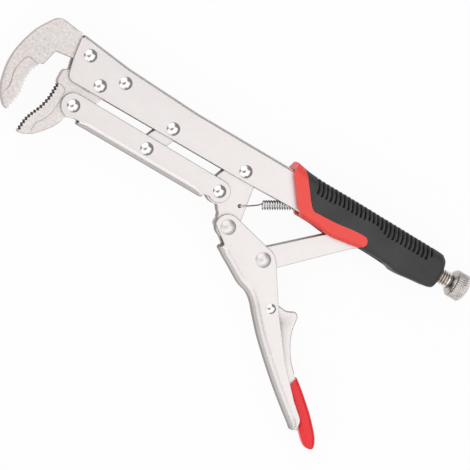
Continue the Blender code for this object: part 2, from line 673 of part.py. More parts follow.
def make_lever(joint):
    spine = lever_spine()
    corners = [(*in_lever(x * LEVER_LENGTH, y * LEVER_DEPTH), r * LEVER_DEPTH)
               for x, y, r in LEVER_OPEN_SHARES]
    ear = arc(LEVER_PIVOT, LEVER_EAR_R, LEVER_HANG + LEVER_EAR_TOP, LEVER_HANG + LEVER_EAR_SIDE, 7)
    side = []
    for index, (x, y, radius) in enumerate(corners):
        before = Vector(corners[index - 1][:2]) if index else spine[-1]
        after = Vector(corners[index + 1][:2]) if index + 1 < len(corners) else ear[0]
        side += round_corner(before, Vector((x, y)), after, radius, 3)
    notch = lever_points([LEVER_NOTCH_SHARES], LEVER_LENGTH, LEVER_DEPTH)
    outline = spine + side + ear + notch
    ceiling = beside(spine, SHEET)
    across = (ceiling[0] - spine[0]).normalized()
    far = [in_lever(LEVER_LENGTH + OVERRUN, LEVER_DEPTH * 0.3), in_lever(LEVER_LENGTH + OVERRUN, LEVER_DEPTH * 2),
           in_lever(-LEVER_EAR_R - OVERRUN, LEVER_DEPTH * 2), in_lever(-LEVER_EAR_R - OVERRUN, -LEVER_DEPTH)]
    hollow = ceiling + far + [spine[0] - across * OVERRUN]
    body = channel("operating_lever", outline, spine, hollow, LEVER_BEND, joint)
    drill(body, [LEVER_PIVOT, TOGGLE_PIVOT], HOLE_R, joint)
    pin = helper("release_hole", holes([RELEASE_PIVOT], SMALL_RIVET_SHANK_R + RUN_GAP, CHANNEL_WIDTH), joint)
    return combine(body, pin)


def in_toggle(along, across):
    return TOGGLE_PIVOT + Matrix.Rotation(TOGGLE_LEAN, 2) @ Vector((along, across))


def make_toggle(joint):
    shoulder = TOGGLE_LENGTH * TOGGLE_SHOULDER_SHARE
    high = round_corner(in_toggle(0.0, TOGGLE_HEAD_R), in_toggle(shoulder, TOGGLE_TOP),
                        in_toggle(TOGGLE_LENGTH, TOGGLE_TAIL_R), TOGGLE_SHOULDER_R, 3)
    low = [in_toggle(shoulder, -TOGGLE_BELLY)]
    outline = arc(TOGGLE_PIVOT, TOGGLE_HEAD_R, TOGGLE_LEAN + math.radians(92.0),
                  TOGGLE_LEAN + math.radians(274.0), 9)
    outline += low
    outline += arc(TOGGLE_TAIL, TOGGLE_TAIL_R, TOGGLE_LEAN - math.pi / 2, TOGGLE_LEAN + math.pi / 2, 8)
    outline += high[::-1]
    body = piece("toggle_link", plate(outline, FILLER_HALF), joint, STEEL)
    return drill(body, [TOGGLE_PIVOT], HOLE_R, joint)


def sleeve_outline():
    top = curve_through(release_points(SLEEVE_TOP_SHARES), 2)
    belly = curve_through(release_points(SLEEVE_BELLY_SHARES), 2)
    return top, belly


def make_release_lever(joint):
    top, belly = sleeve_outline()
    inset = SLEEVE_WALL + RUN_GAP
    core_top = beside(top, -inset)[:-2]
    core_belly = beside(belly, -inset)[1:]
    back = release_points(RELEASE_TOP_SHARES)
    underside = [in_lever(RELEASE_ALONG + RELEASE_BOSS_R * 2.4, RELEASE_RISE - RELEASE_BOSS_R * 0.5)]
    boss = arc(RELEASE_PIVOT, RELEASE_BOSS_R, LEVER_HANG - math.radians(75.0),
               LEVER_HANG - math.radians(200.0), 6)
    outline = back + core_top + core_belly + underside + boss
    body = piece("release_lever", plate(outline, RELEASE_PLATE / 2), joint, STEEL)
    hub = arc(RELEASE_PIVOT, RELEASE_BOSS_R * 0.96, 0.0, 2 * math.pi, ROUND_STEPS)[:-1]
    combine(body, helper("release_hub", plate(hub, FILLER_HALF), joint), 'UNION')
    pin = helper("release_bore", holes([RELEASE_PIVOT], SMALL_RIVET_SHANK_R + RUN_GAP, CHANNEL_WIDTH), joint)
    combine(body, pin)
    make_sleeve(joint, top, belly)


def make_sleeve(joint, top, belly):
    shell = plate(top + belly, SLEEVE_WIDTH / 2)
    bend_edges(shell, top + belly, SLEEVE_WALL, 2)
    body = piece("release_lever_sleeve", shell, joint, RED)
    mouth = (top[0] - top[1]).normalized() * OVERRUN
    inner_top = beside(top, -SLEEVE_WALL)[:-1]
    inner_belly = beside(belly, -SLEEVE_WALL)[1:]
    pocket = [inner_top[0] + mouth] + inner_top + inner_belly + [inner_belly[-1] + mouth]
    return combine(body, helper("sleeve_pocket", plate(pocket, RELEASE_PLATE / 2 + RUN_GAP), joint))


# Adjusting screw, bush and knob

def threaded(start, end):
    """A helical thread along X, closed by a plain ring at each end."""
    mesh = bmesh.new()
    turns = int((end - start) / SCREW_PITCH) - 2
    columns = []
    for step in range(SCREW_STEPS):
        turn = 2 * math.pi * step / SCREW_STEPS
        offset = start + SCREW_PITCH * (0.5 + step / SCREW_STEPS)
        spots = [(start, SCREW_CORE_R)]
        for half in range(2 * turns + 1):
            radius = SCREW_R if half % 2 else SCREW_CORE_R
            spots.append((offset + SCREW_PITCH * half / 2, radius))
        if step == 0:
            spots.append((offset + SCREW_PITCH * (turns + 0.5), SCREW_R))
            spots.append((offset + SCREW_PITCH * (turns + 1), SCREW_CORE_R))
        spots.append((end, SCREW_CORE_R))
        columns.append([mesh.verts.new((x, r * math.cos(turn), r * math.sin(turn))) for x, r in spots])
    for left, right in zip(columns[1:], columns[2:]):
        for low in range(len(left) - 1):
            mesh.faces.new((left[low], left[low + 1], right[low + 1], right[low]))
    first, second, last = columns[0], columns[1], columns[-1]
    inner = len(second) - 1
    for low in range(inner - 1):
        mesh.faces.new((first[low], first[low + 1], second[low + 1], second[low]))
    mesh.faces.new((first[inner - 1], first[inner], first[inner + 1], first[inner + 2], second[inner],
                    second[inner - 1]))
    mesh.faces.new((last[0], last[1], first[3], first[2], first[1], first[0]))
    for low in range(1, len(last) - 1):
        mesh.faces.new((last[low], last[low + 1], first[low + 3], first[low + 2]))
    mesh.faces.new([column[0] for column in columns])
    mesh.faces.new([column[-1] for column in reversed(columns)])
    bmesh.ops.recalc_face_normals(mesh, faces=mesh.faces)
    bmesh.ops.translate(mesh, verts=mesh.verts, vec=Vector((0.0, SCREW_RISE, 0.0)))
    return mesh


def make_screw(joint):
    tip = TOGGLE_TAIL_X + TOGGLE_TAIL_R + SCREW_TIP_GAP
    end = KNOB_FRONT - SEAT_GAP
    body = piece("adjusting_screw", threaded(tip, end), joint, STEEL)
    spigot = [(-SCREW_PITCH, SPIGOT_R), (KNOB_LENGTH * SPIGOT_DEPTH_SHARE, SPIGOT_R)]
    pin = lathe(spigot, ROUND_STEPS, (end, SCREW_RISE, 0.0), along_x=True)
    return combine(body, helper("screw_spigot", pin, joint), 'UNION')


def knob_mesh():
    """A turned knob with a diamond knurl: every other point of the barrel's rows is pressed in."""
    start, end = KNOB_SHARES[2], KNOB_SHARES[3]
    profile = [(x * KNOB_LENGTH, r * KNOB_R, 0.0) for x, r in KNOB_SHARES[:2]]
    for row in range(KNURL_ROWS + 2):
        x = start[0] + (end[0] - start[0]) * row / (KNURL_ROWS + 1)
        pressed = KNURL_DEPTH if 0 < row <= KNURL_ROWS else 0.0
        profile.append((x * KNOB_LENGTH, start[1] * KNOB_R, pressed))
    profile += [(x * KNOB_LENGTH, r * KNOB_R, 0.0) for x, r in KNOB_SHARES[4:]]
    profile.append((KNOB_LENGTH, KNOB_SHARES[-1][1] * KNOB_R * 0.9, 0.0))
    mesh = bmesh.new()
    rings = []
    for row, (x, radius, pressed) in enumerate(profile):
        ring = []
        for step in range(KNURL_STEPS):
            turn = 2 * math.pi * step / KNURL_STEPS
            lift = pressed * (1 if (row + step) % 2 else -1)
            spot = polar(radius + lift, turn)
            ring.append(mesh.verts.new((x, spot.x, spot.y)))
        rings.append(ring)
    for low, high in zip(rings, rings[1:]):
        for step in range(KNURL_STEPS):
            after = (step + 1) % KNURL_STEPS
            mesh.faces.new((low[step], low[after], high[after], high[step]))
    mesh.faces.new(rings[0])
    mesh.faces.new(rings[-1])
    bmesh.ops.recalc_face_normals(mesh, faces=mesh.faces)
    bmesh.ops.translate(mesh, verts=mesh.verts, vec=Vector((KNOB_FRONT, SCREW_RISE, 0.0)))
    return mesh


def make_knob(joint):
    body = piece("adjusting_knob", knob_mesh(), joint, STEEL)
    depth = KNOB_LENGTH * SPIGOT_DEPTH_SHARE + RUN_GAP
    bore = [(-OVERRUN, SPIGOT_R + RUN_GAP), (depth, SPIGOT_R + RUN_GAP)]
    drill_bit = lathe(bore, ROUND_STEPS, (KNOB_FRONT, SCREW_RISE, 0.0), along_x=True)
    return combine(body, helper("knob_bore", drill_bit, joint))


def make_bush(tool):
    """The threaded bush behind the frame, with a tongue between the frame's cheeks."""
    start = FRAME_TAIL + SEAT_GAP
    end = start + BUSH_LENGTH
    corners = [(start, -FRAME_REAR_FALL, SMALL_R), (end, -FRAME_REAR_FALL, SMALL_R),
               (end, FRAME_RISE, SMALL_R), (start, FRAME_RISE, SMALL_R)]
    body = piece("screw_bush", plate(rounded(corners, 1), CHANNEL_HALF), tool, STEEL)
    low = SCREW_RISE + SCREW_R + 2 * RUN_GAP
    high = FRAME_RISE - SHEET - SEAT_GAP
    tongue = [Vector((start - BUSH_TONGUE, low)), Vector((start + SHEET, low)),
              Vector((start + SHEET, high)), Vector((start - BUSH_TONGUE, high))]
    combine(body, helper("bush_tongue", plate(tongue, INNER_HALF - SEAT_GAP), tool), 'UNION')
    bore = [(-OVERRUN, SCREW_R + RUN_GAP), (BUSH_LENGTH + OVERRUN, SCREW_R + RUN_GAP)]
    place = (start, SCREW_RISE, 0.0)
    return combine(body, helper("bush_bore", lathe(bore, ROUND_STEPS, place, along_x=True), tool))


# Tension spring

def spring_path():
    """The wire from the crank's hole, through the coil, to the ear in the frame."""
    start = Vector((HOOK_HOLE.x, HOOK_HOLE.y, 0.0))
    goal = Vector((ANCHOR.x, ANCHOR.y, 0.0))
    along = (goal - start).normalized()
    across = Vector((0.0, 0.0, 1.0)).cross(along)
    up = Vector((0.0, 0.0, 1.0))
    out = FILLER_HALF + SEAT_GAP + WIRE / 2
    back = SHEET / 2 + SEAT_GAP + WIRE / 2
    path = [start - up * out - across * HOOK_TAIL, start - up * out, start - up * FILLER_HALF * 0.4,
            start + up * FILLER_HALF * 0.4, start + up * out, start + along * WIRE * 5 + up * out]
    coil_start = start + along * SPRING_LEAD
    coil_length = SPRING_PITCH * SPRING_CURLS
    path.append(coil_start - along * WIRE * 2)
    for step in range(SPRING_CURLS * CURL_POINTS + 1):
        turn = 2 * math.pi * step / CURL_POINTS
        grow = min(1.0, step / 4, (SPRING_CURLS * CURL_POINTS - step) / 4)
        radius = SPRING_R * max(grow, 0.25)
        centre = coil_start + along * (coil_length * step / (SPRING_CURLS * CURL_POINTS))
        path.append(centre + (across * math.cos(turn) + up * math.sin(turn)) * radius)
    coil_end = coil_start + along * coil_length
    path += [coil_end + along * WIRE * 2, goal - along * WIRE * 4 + up * back, goal - along * WIRE + up * back,
             goal + up * back, goal - up * back, goal - up * back + across * HOOK_TAIL]
    return path


def least_gap(path):
    """The smallest gap between two stretches of the wire that aren't neighbours."""
    marks = []
    for start, end in zip(path, path[1:]):
        parts = max(1, int((end - start).length / (WIRE / 2)))
        marks += [start + (end - start) * part / parts for part in range(parts)]
    lengths = [0.0]
    for start, end in zip(marks, marks[1:]):
        lengths.append(lengths[-1] + (end - start).length)
    least = OVERRUN
    for index, mark in enumerate(marks):
        for other in range(index + 1, len(marks)):
            if lengths[other] - lengths[index] > 4 * WIRE:
                least = min(least, (marks[other] - mark).length - WIRE)
    return least


def make_spring(tool):
    path = spring_path()
    curve = bpy.data.curves.new("tension_spring", 'CURVE')
    curve.dimensions = '3D'
    curve.bevel_depth = WIRE / 2
    curve.bevel_resolution = 1
    curve.use_fill_caps = True
    line = curve.splines.new('POLY')
    line.points.add(len(path) - 1)
    for spot, point in zip(line.points, path):
        spot.co = (*point, 1.0)
    curve.materials.append(finish("tension_spring", STEEL))
    body = bpy.data.objects.new("tension_spring", curve)
    body.parent = tool
    bpy.context.collection.objects.link(body)
    print("spring wire's least gap to itself, mm:", round(least_gap(path) / MM, 3))


# Grip

def grip_section(station, inset=0.0):
    """A rounded rectangle across the grip at one station."""
    x, rise, fall, side = station
    top = FRAME_RISE + rise * GRIP_WALL - inset
    low = -FRAME_REAR_FALL - fall * GRIP_WALL + inset
    half = CHANNEL_HALF + side * GRIP_SIDE_WALL - inset
    radius = min(GRIP_SIDE_WALL * GRIP_CORNER_SHARE, half * 0.9, (top - low) * 0.45)
    corners = [(half - radius, top - radius, 0.0), (radius - half, top - radius, 0.5),
               (radius - half, low + radius, 1.0), (half - radius, low + radius, 1.5)]
    points = []
    for z, y, quarter in corners:
        for step in range(5):
            turn = math.pi * (quarter + step / 8)
            points.append(Vector((x * GRIP_END, y + radius * math.sin(turn), z + radius * math.cos(turn))))
    return points


def grip_body(stations, inset=0.0):
    mesh = bmesh.new()
    rings = []
    for station in stations:
        rings.append([mesh.verts.new(point) for point in grip_section(station, inset)])
    for low, high in zip(rings, rings[1:]):
        for index in range(len(low)):
            after = (index + 1) % len(low)
            mesh.faces.new((low[index], low[after], high[after], high[index]))
    mesh.faces.new(rings[0])
    mesh.faces.new(rings[-1])
    bmesh.ops.recalc_face_normals(mesh, faces=mesh.faces)
    return mesh


def grip_points(shares):
    return [Vector((x * GRIP_END, SCREW_RISE + y * GRIP_HEIGHT)) for x, y in shares]


def cavity_outline():
    """The frame's own outline inside the grip, grown by the seat gap."""
    top = FRAME_RISE + SEAT_GAP
    end = BUSH_END + SEAT_GAP
    drop = (FRAME_FALL - FRAME_REAR_FALL) / (FRAME_TAIL + 2 * PIVOT_PITCH)
    low_end = -FRAME_REAR_FALL - SEAT_GAP
    low_start = low_end - drop * end - SEAT_GAP
    return [Vector((-OVERRUN, low_start)), Vector((end, low_end)), Vector((end, top)), Vector((-OVERRUN, top))]


def slot_outline():
    """The opening under the frame that the toggle link swings in."""
    end = GRIP_END * GRIP_SLOT_END_SHARE
    low = SCREW_RISE - GRIP_HEIGHT * 3
    return [Vector((-OVERRUN, low)), Vector((end, low)), Vector((end, SCREW_RISE)), Vector((-OVERRUN, SCREW_RISE))]


def hollow_grip(body, tool):
    name = body.name
    combine(body, helper(name + "_cavity", plate(cavity_outline(), CHANNEL_HALF + SEAT_GAP), tool))
    return combine(body, helper(name + "_slot", plate(slot_outline(), INNER_HALF + SEAT_GAP), tool))


def groove_cutter():
    """Bars across the grip's back and both shoulders, one for each groove."""
    bars = []
    high = SCREW_RISE + GRIP_HEIGHT * 2
    for index in range(GROOVE_COUNT):
        share = index / (GROOVE_COUNT - 1)
        x = GRIP_END * (GROOVE_FIRST_SHARE + (GROOVE_LAST_SHARE - GROOVE_FIRST_SHARE) * share)
        low_share = GROOVE_LOW_SHARES[0] if share > GROOVE_LONG_SHARE else GROOVE_LOW_SHARES[1]
        low = SCREW_RISE + GRIP_HEIGHT * low_share
        corners = [Vector((x - GROOVE_WIDTH / 2, low)), Vector((x + GROOVE_WIDTH / 2, low)),
                   Vector((x + GROOVE_WIDTH / 2, high)), Vector((x - GROOVE_WIDTH / 2, high))]
        bars.append(plate(corners, 2 * GRIP_HALF))
    return joined(bars)


def make_grip(tool):
    rim = curve_through(grip_points(GRIP_RIM_SHARES), 2)
    edge = curve_through(grip_points(RED_EDGE_SHARES), 2)
    left = -GRIP_END * 0.1
    front = [Vector((left, rim[0].y))] + rim + [Vector((left, rim[-1].y))]
    red_part = [Vector((left, edge[0].y))] + edge + [Vector((left, edge[-1].y))]
    grown = [Vector((left, edge[0].y))] + beside(edge, RUN_GAP) + [Vector((left, edge[-1].y))]

    red = piece("handle_grip_red", grip_body(GRIP_STATION_SHARES), tool, RED)
    combine(red, helper("red_region", plate(red_part, 2 * GRIP_HALF), tool), 'INTERSECT')
    combine(red, helper("grip_front", plate(front, 2 * GRIP_HALF), tool))
    hollow_grip(red, tool)

    black = piece("handle_grip", grip_body(GRIP_STATION_SHARES), tool, BLACK)
    combine(black, helper("black_region", plate(grown, 2 * GRIP_HALF), tool))
    hollow_grip(black, tool)
    bars = helper("groove_bars", groove_cutter(), tool)
    combine(bars, helper("groove_core", grip_body(GRIP_STATION_SHARES, GROOVE_DEPTH), tool))
    combine(black, bars)
    bore = [(-OVERRUN, SCREW_R + 2 * RUN_GAP), (OVERRUN * 2, SCREW_R + 2 * RUN_GAP)]
    exit_hole = lathe(bore, ROUND_STEPS, (GRIP_END - OVERRUN, SCREW_RISE, 0.0), along_x=True)
    combine(black, helper("screw_exit", exit_hole, tool))


# Motion: how far each joint turns from the open position to the locked one

def closing_turns():
    reach = TOGGLE_TAIL.length
    straight = LEVER_ARM + TOGGLE_LENGTH
    corner = math.acos((CRANK_ARM ** 2 + reach ** 2 - straight ** 2) / (2 * CRANK_ARM * reach))
    locked = math.atan2(TOGGLE_TAIL.y, TOGGLE_TAIL.x) - corner
    crank = math.atan2(LEVER_PIVOT.y, LEVER_PIVOT.x) - locked
    line = TOGGLE_TAIL - polar(CRANK_ARM, locked)
    lever = math.atan2(line.y, line.x) - LEVER_ARM_ANGLE + crank
    toggle = lever - crank - (math.atan2(line.y, line.x) - TOGGLE_LEAN)
    return crank, lever, toggle


def stand_on_floor(tool):
    """Move the tool so that the middle of its underside is at the origin."""
    bpy.context.view_layer.update()
    scene = bpy.context.evaluated_depsgraph_get()
    spots = []
    for body in bpy.data.objects:
        if body.type in {'MESH', 'CURVE'} and not body.hide_render:
            whole = body.evaluated_get(scene)
            mesh = whole.to_mesh()
            spots += [whole.matrix_world @ vert.co for vert in mesh.vertices]
            whole.to_mesh_clear()
    low = Vector([min(spot[axis] for spot in spots) for axis in range(3)])
    high = Vector([max(spot[axis] for spot in spots) for axis in range(3)])
    middle = (low + high) / 2
    tool.location = (-middle.x, -middle.y, -low.z)
    bpy.context.view_layer.update()
    print("size, mm:", [round(side / MM, 2) for side in high - low])


def report_places(tool):
    shift = tool.location
    named = {"crank": CRANK_PIVOT, "mid_link": MID_PIVOT, "jaw": JAW_PIVOT, "bar_rear": BAR_REAR,
             "lever": LEVER_PIVOT, "toggle": TOGGLE_PIVOT, "release": RELEASE_PIVOT,
             "screw": (KNOB_FRONT, SCREW_RISE), "toggle_tail": TOGGLE_TAIL}
    for name, place in named.items():
        spot = Vector((place[0], place[1], 0.0)) + shift
        print("joint place", name, [round(value, 6) for value in spot])
    crank, lever, toggle = closing_turns()
    print("closing, degrees: crank %.4f lever %.4f toggle %.4f" % tuple(map(math.degrees, (crank, lever, toggle))))
    print("ratios: lever %.6f toggle %.6f" % (lever / crank, toggle / crank))
    print("screw travel per turn, m per rad:", SCREW_PITCH / (2 * math.pi), "travel", SCREW_TRAVEL)


def build():
    for thing in list(bpy.data.objects):
        bpy.data.objects.remove(thing, do_unlink=True)
    tool = joint_at("pliers", CRANK_PIVOT)
    crank = joint_at("crank_axis", CRANK_PIVOT, tool)
    jaw = joint_at("jaw_axis", JAW_PIVOT, tool)
    mid = joint_at("mid_link_axis", MID_PIVOT, tool)
    bar = joint_at("link_bar_axis", BAR_REAR, crank)
    lever = joint_at("lever_axis", LEVER_PIVOT, crank)
    toggle = joint_at("toggle_axis", TOGGLE_PIVOT, lever)
    release = joint_at("release_axis", RELEASE_PIVOT, lever)
    screw = joint_at("screw_slide", (KNOB_FRONT, SCREW_RISE), tool)
    knob = joint_at("knob_axis", (KNOB_FRONT, SCREW_RISE), screw)

    make_frame(tool)
    make_fixed_jaw(tool)
    make_moving_jaw(jaw)
    make_link_bar(bar)
    make_mid_link(mid)
    make_crank(crank)
    make_lever(lever)
    make_toggle(toggle)
    make_release_lever(release)
    make_screw(screw)
    make_knob(knob)
    make_bush(tool)
    make_spring(tool)
    make_grip(tool)

    frame_rivet = (CHANNEL_HALF, RIVET_SHANK_R, RIVET_HEAD_R, RIVET_HEAD_RISE)
    lever_rivet = (CHANNEL_HALF, RIVET_SHANK_R, LEVER_RIVET_HEAD_R, LEVER_RIVET_HEAD_RISE)
    small_rivet = (CHANNEL_HALF, SMALL_RIVET_SHANK_R, SMALL_RIVET_HEAD_R, SMALL_RIVET_HEAD_RISE)
    front, rear = jaw_rivet_places()
    rivet("fixed_jaw_front_rivet", front, tool, *frame_rivet)
    rivet("fixed_jaw_rear_rivet", rear, tool, *frame_rivet)
    rivet("jaw_pivot_rivet", JAW_PIVOT, tool, *frame_rivet)
    rivet("mid_link_upper_rivet", MID_PIVOT, tool, *frame_rivet)
    rivet("crank_pivot_rivet", CRANK_PIVOT, tool, *frame_rivet)
    rivet("link_bar_front_rivet", BAR_FRONT, bar, *frame_rivet)
    rivet("link_bar_middle_rivet", BAR_MIDDLE, bar, *frame_rivet)
    rivet("link_bar_rear_rivet", BAR_REAR, bar, *frame_rivet)
    rivet("lever_pivot_rivet", LEVER_PIVOT, lever, *lever_rivet)
    rivet("toggle_rivet", TOGGLE_PIVOT, lever, *lever_rivet)
    rivet("release_lever_rivet", RELEASE_PIVOT, lever, *small_rivet)
    stand_on_floor(tool)
    report_places(tool)


build()
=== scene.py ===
# Long reach locking pliers lying on a pale floor: the finish of every piece.
# Outlines are laid out in the tool's own frame, whose origin is the crank pivot and whose X axis
# runs through the three frame pivots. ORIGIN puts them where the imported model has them.
from math import asin, atan2, cos, hypot, pi, radians, sin, tan

import bmesh
import bpy
from mathutils import Matrix, Vector


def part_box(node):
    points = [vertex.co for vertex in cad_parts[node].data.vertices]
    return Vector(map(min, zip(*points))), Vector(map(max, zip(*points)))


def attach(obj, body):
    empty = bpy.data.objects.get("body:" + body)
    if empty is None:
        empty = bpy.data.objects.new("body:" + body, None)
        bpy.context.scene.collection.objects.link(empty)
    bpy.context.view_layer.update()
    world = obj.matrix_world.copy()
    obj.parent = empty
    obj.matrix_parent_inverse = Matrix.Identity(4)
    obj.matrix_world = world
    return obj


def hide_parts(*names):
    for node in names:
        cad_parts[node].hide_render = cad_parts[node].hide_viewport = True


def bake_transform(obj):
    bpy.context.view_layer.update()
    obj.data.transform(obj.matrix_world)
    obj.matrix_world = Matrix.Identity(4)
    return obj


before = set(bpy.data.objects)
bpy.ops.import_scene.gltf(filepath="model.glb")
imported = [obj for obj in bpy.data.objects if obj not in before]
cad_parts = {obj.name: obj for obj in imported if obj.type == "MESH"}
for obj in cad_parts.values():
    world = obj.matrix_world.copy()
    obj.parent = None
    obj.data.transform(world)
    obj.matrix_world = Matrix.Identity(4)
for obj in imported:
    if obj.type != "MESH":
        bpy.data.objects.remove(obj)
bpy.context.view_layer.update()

MM = 0.001

# Linkage
PIVOT_PITCH = 52.8 * MM
LINK_LENGTH = 20.5 * MM
LINK_LEAN = radians(23.6)
CRANK_ARM = 36.05 * MM
CRANK_LEAN = radians(12.5)
LEVER_ARM = 30.3 * MM
LEVER_ARM_ANGLE = radians(-12.6)
LEVER_HANG = radians(-45.0)
SCREW_RISE = 6.0 * MM
TOGGLE_TAIL_X = 94.0 * MM
RELEASE_ALONG = 56.3 * MM
RELEASE_RISE = 13.2 * MM

# Sheet metal
SHEET = 2.0 * MM
CHANNEL_HALF = 7.5 * MM
FILLER_HALF = 5.1 * MM
SEAT_GAP = 0.3 * MM
OVERRUN = 6.0 * MM
SAME_PLACE = 0.001 * MM
LONGEST_MITRE = 1.5
FRAME_BEND = 2.1 * MM
BAR_BEND = 4.6 * MM
LEVER_BEND = 5.2 * MM
SMALLEST_BEND = 2.3 * MM
BEND_TAPER = 3.5 * MM
BEND_STEPS = 6
STAMPED_EDGE = 0.45 * MM
STAMPED_ANGLE = radians(55.0)
EDGE_STEPS = 3
PLATE_EDGE = 0.6 * MM

# Upper frame
FRAME_NOSE = 24.8 * MM
FRAME_NOSE_RISE = 22.5 * MM
FRAME_RISE = 16.1 * MM
FRAME_FALL = 6.3 * MM
FRAME_REAR_FALL = 2.4 * MM
FRAME_MIDDLE_FALL = 5.8 * MM
FRAME_TAPER = 85.0 * MM
FRAME_TAIL = 121.5 * MM
FRAME_NOSE_SHARES = ((0.94, 1.0), (1.0, 0.87), (0.915, 0.24))
FRAME_CHIN_SHARE = 0.8
FRAME_KNEE_SHARE = 0.4
FRAME_KNEE_RISE_SHARE = 0.38
NOSE_CORNER_R = 5.0 * MM
NOSE_FACE_R = 30.0 * MM
NOSE_TOP_R = 2.6 * MM
KNEE_R = 60.0 * MM
KNEE_STEPS = 4
CORNER_STEPS = 5
ANCHOR_X = 62.0 * MM
ANCHOR_DROP = 3.4 * MM
ANCHOR_EAR_LENGTH = 7.0 * MM
ANCHOR_EAR_DEPTH = 6.2 * MM

# Jaws: shares of the reach in front of the jaw pivot and of the drop below it
JAW_REACH = 56.2 * MM
JAW_DROP = 49.6 * MM
JAW_LOBE_R = 7.6 * MM
PAD_PROUD = 1.3 * MM
TOOTH_DEPTH = 1.2 * MM
TOOTH_PITCH = 2.3 * MM
BITE_INSET = 1.6 * MM
TAIL_LENGTH = 19.6 * MM
TAIL_CLEAR = 1.2 * MM
JAW_EDGE = 0.85 * MM
PAD_EDGE = 0.55 * MM
SHELF_SHARE = 0.9
TAIL_SHEETS = 1.5
BACK_UNDER_PAD = 8
BITE_UNDER_THROAT = 4
TOOTH_SHADE_FADE = 1.0 * MM
FIXED_BACK_SHARES = (
    (0.505, 0.462), (0.613, 0.477), (0.69, 0.488), (0.728, 0.486), (0.762, 0.466), (0.792, 0.427),
    (0.836, 0.352), (0.904, 0.22), (0.957, 0.05), (0.991, -0.131), (0.9993, -0.296), (0.98, -0.456),
    (0.94, -0.613), (0.884, -0.726),
    (0.819, -0.796), (0.765, -0.827))
FIXED_BITE_SHARES = (
    (0.753, -0.79), (0.735, -0.706), (0.719, -0.585), (0.731, -0.484), (0.745, -0.377),
    (0.735, -0.278), (0.706, -0.181), (0.686, -0.139))
FIXED_THROAT_SHARES = ((0.658, -0.123), (0.61, 0.095), (0.404, 0.129))
FIXED_PAD_SHARES = (
    (0.71, -0.151), (0.76, -0.145), (0.8, -0.13), (0.836, -0.138), (0.866, -0.176), (0.884, -0.255),
    (0.896, -0.372), (0.883, -0.46), (0.864, -0.534), (0.868, -0.602), (0.884, -0.7), (0.819, -0.796),
    (0.765, -0.827))
MOVING_HEAD_SHARES = (
    (0.132, 0.085), (0.372, -0.01), (0.427, -0.042), (0.44, -0.081), (0.438, -0.188), (0.424, -0.226))
MOVING_BITE_SHARES = (
    (0.415, -0.242), (0.415, -0.403), (0.429, -0.508), (0.454, -0.605), (0.486, -0.685),
    (0.516, -0.77), (0.532, -0.857), (0.539, -0.98))
MOVING_TIP_SHARES = ((0.516, -1.0), (0.464, -0.992), (0.427, -0.968))
MOVING_FOOT_SWEEP = radians(70.0)
MOVING_HEEL_SHARES = ((0.377, -0.935), (0.327, -0.879), (0.279, -0.815), (0.226, -0.738), (0.185, -0.655))
MOVING_PAD_SHARES = (
    (0.411, -0.944), (0.411, -0.827), (0.402, -0.782), (0.361, -0.718), (0.327, -0.639),
    (0.308, -0.552), (0.302, -0.444), (0.302, -0.343), (0.308, -0.27), (0.338, -0.24), (0.383, -0.23))

# Link bar, mid link and crank
BAR_FRONT_EAR_R = 7.9 * MM
BAR_REAR_EAR_R = 7.0 * MM
BAR_FALL = 8.8 * MM
BAR_SPINE_SETBACK = 8.0 * MM
BAR_EAR_END = radians(305.0)
BAR_STEPS = 16
MID_LINK_R = 6.3 * MM
CRANK_HEAD_R = 9.4 * MM
CRANK_MIDDLE_R = 8.2 * MM
CRANK_FOOT_R = 7.2 * MM
CRANK_EDGE_TURN = radians(-14.0)
CRANK_MIDDLE_END = radians(292.0)
CRANK_FOOT_START = radians(170.0)
CRANK_NECK_SHARES = ((0.471, 0.155), (0.579, 0.156), (0.651, 0.196))
HOOK_HOLE_R = 1.3 * MM
HOOK_HOLE_BACK = 7.7 * MM
HOOK_HOLE_DROP = 20.3 * MM

# Operating lever: shares of its length along the lever and of its depth across it
LEVER_LENGTH = 134.8 * MM
LEVER_DEPTH = 24.6 * MM
LEVER_EAR_R = 8.0 * MM
LEVER_EAR_SIDE = radians(240.0)
LEVER_EAR_TOP = radians(122.0)
LEVER_NOTCH_SHARES = (0.07, -0.2)
LEVER_SPINE_SHARES = (
    (0.083, -0.341), (0.131, -0.289), (0.178, -0.215), (0.264, -0.087), (0.315, 0.055), (0.364, 0.099),
    (0.415, 0.083), (0.51, 0.062), (0.594, 0.071), (0.752, 0.126), (0.875, 0.2), (0.992, 0.29))
LEVER_OPEN_SHARES = (
    (1.0, 0.4, 0.09), (0.958, 0.567, 0.24), (0.86, 0.528, 0.9), (0.67, 0.553, 2.4), (0.455, 0.707, 2.0),
    (0.185, 1.0, 0.4))

# Toggle link
TOGGLE_HEAD_R = 7.2 * MM
TOGGLE_TAIL_R = 5.0 * MM
TOGGLE_SHOULDER_SHARE = 0.74
TOGGLE_TOP = 8.9 * MM
TOGGLE_BELLY = 3.6 * MM
TOGGLE_SHOULDER_R = 9.0 * MM
TOGGLE_HEAD_START = radians(92.0)
TOGGLE_HEAD_END = radians(274.0)

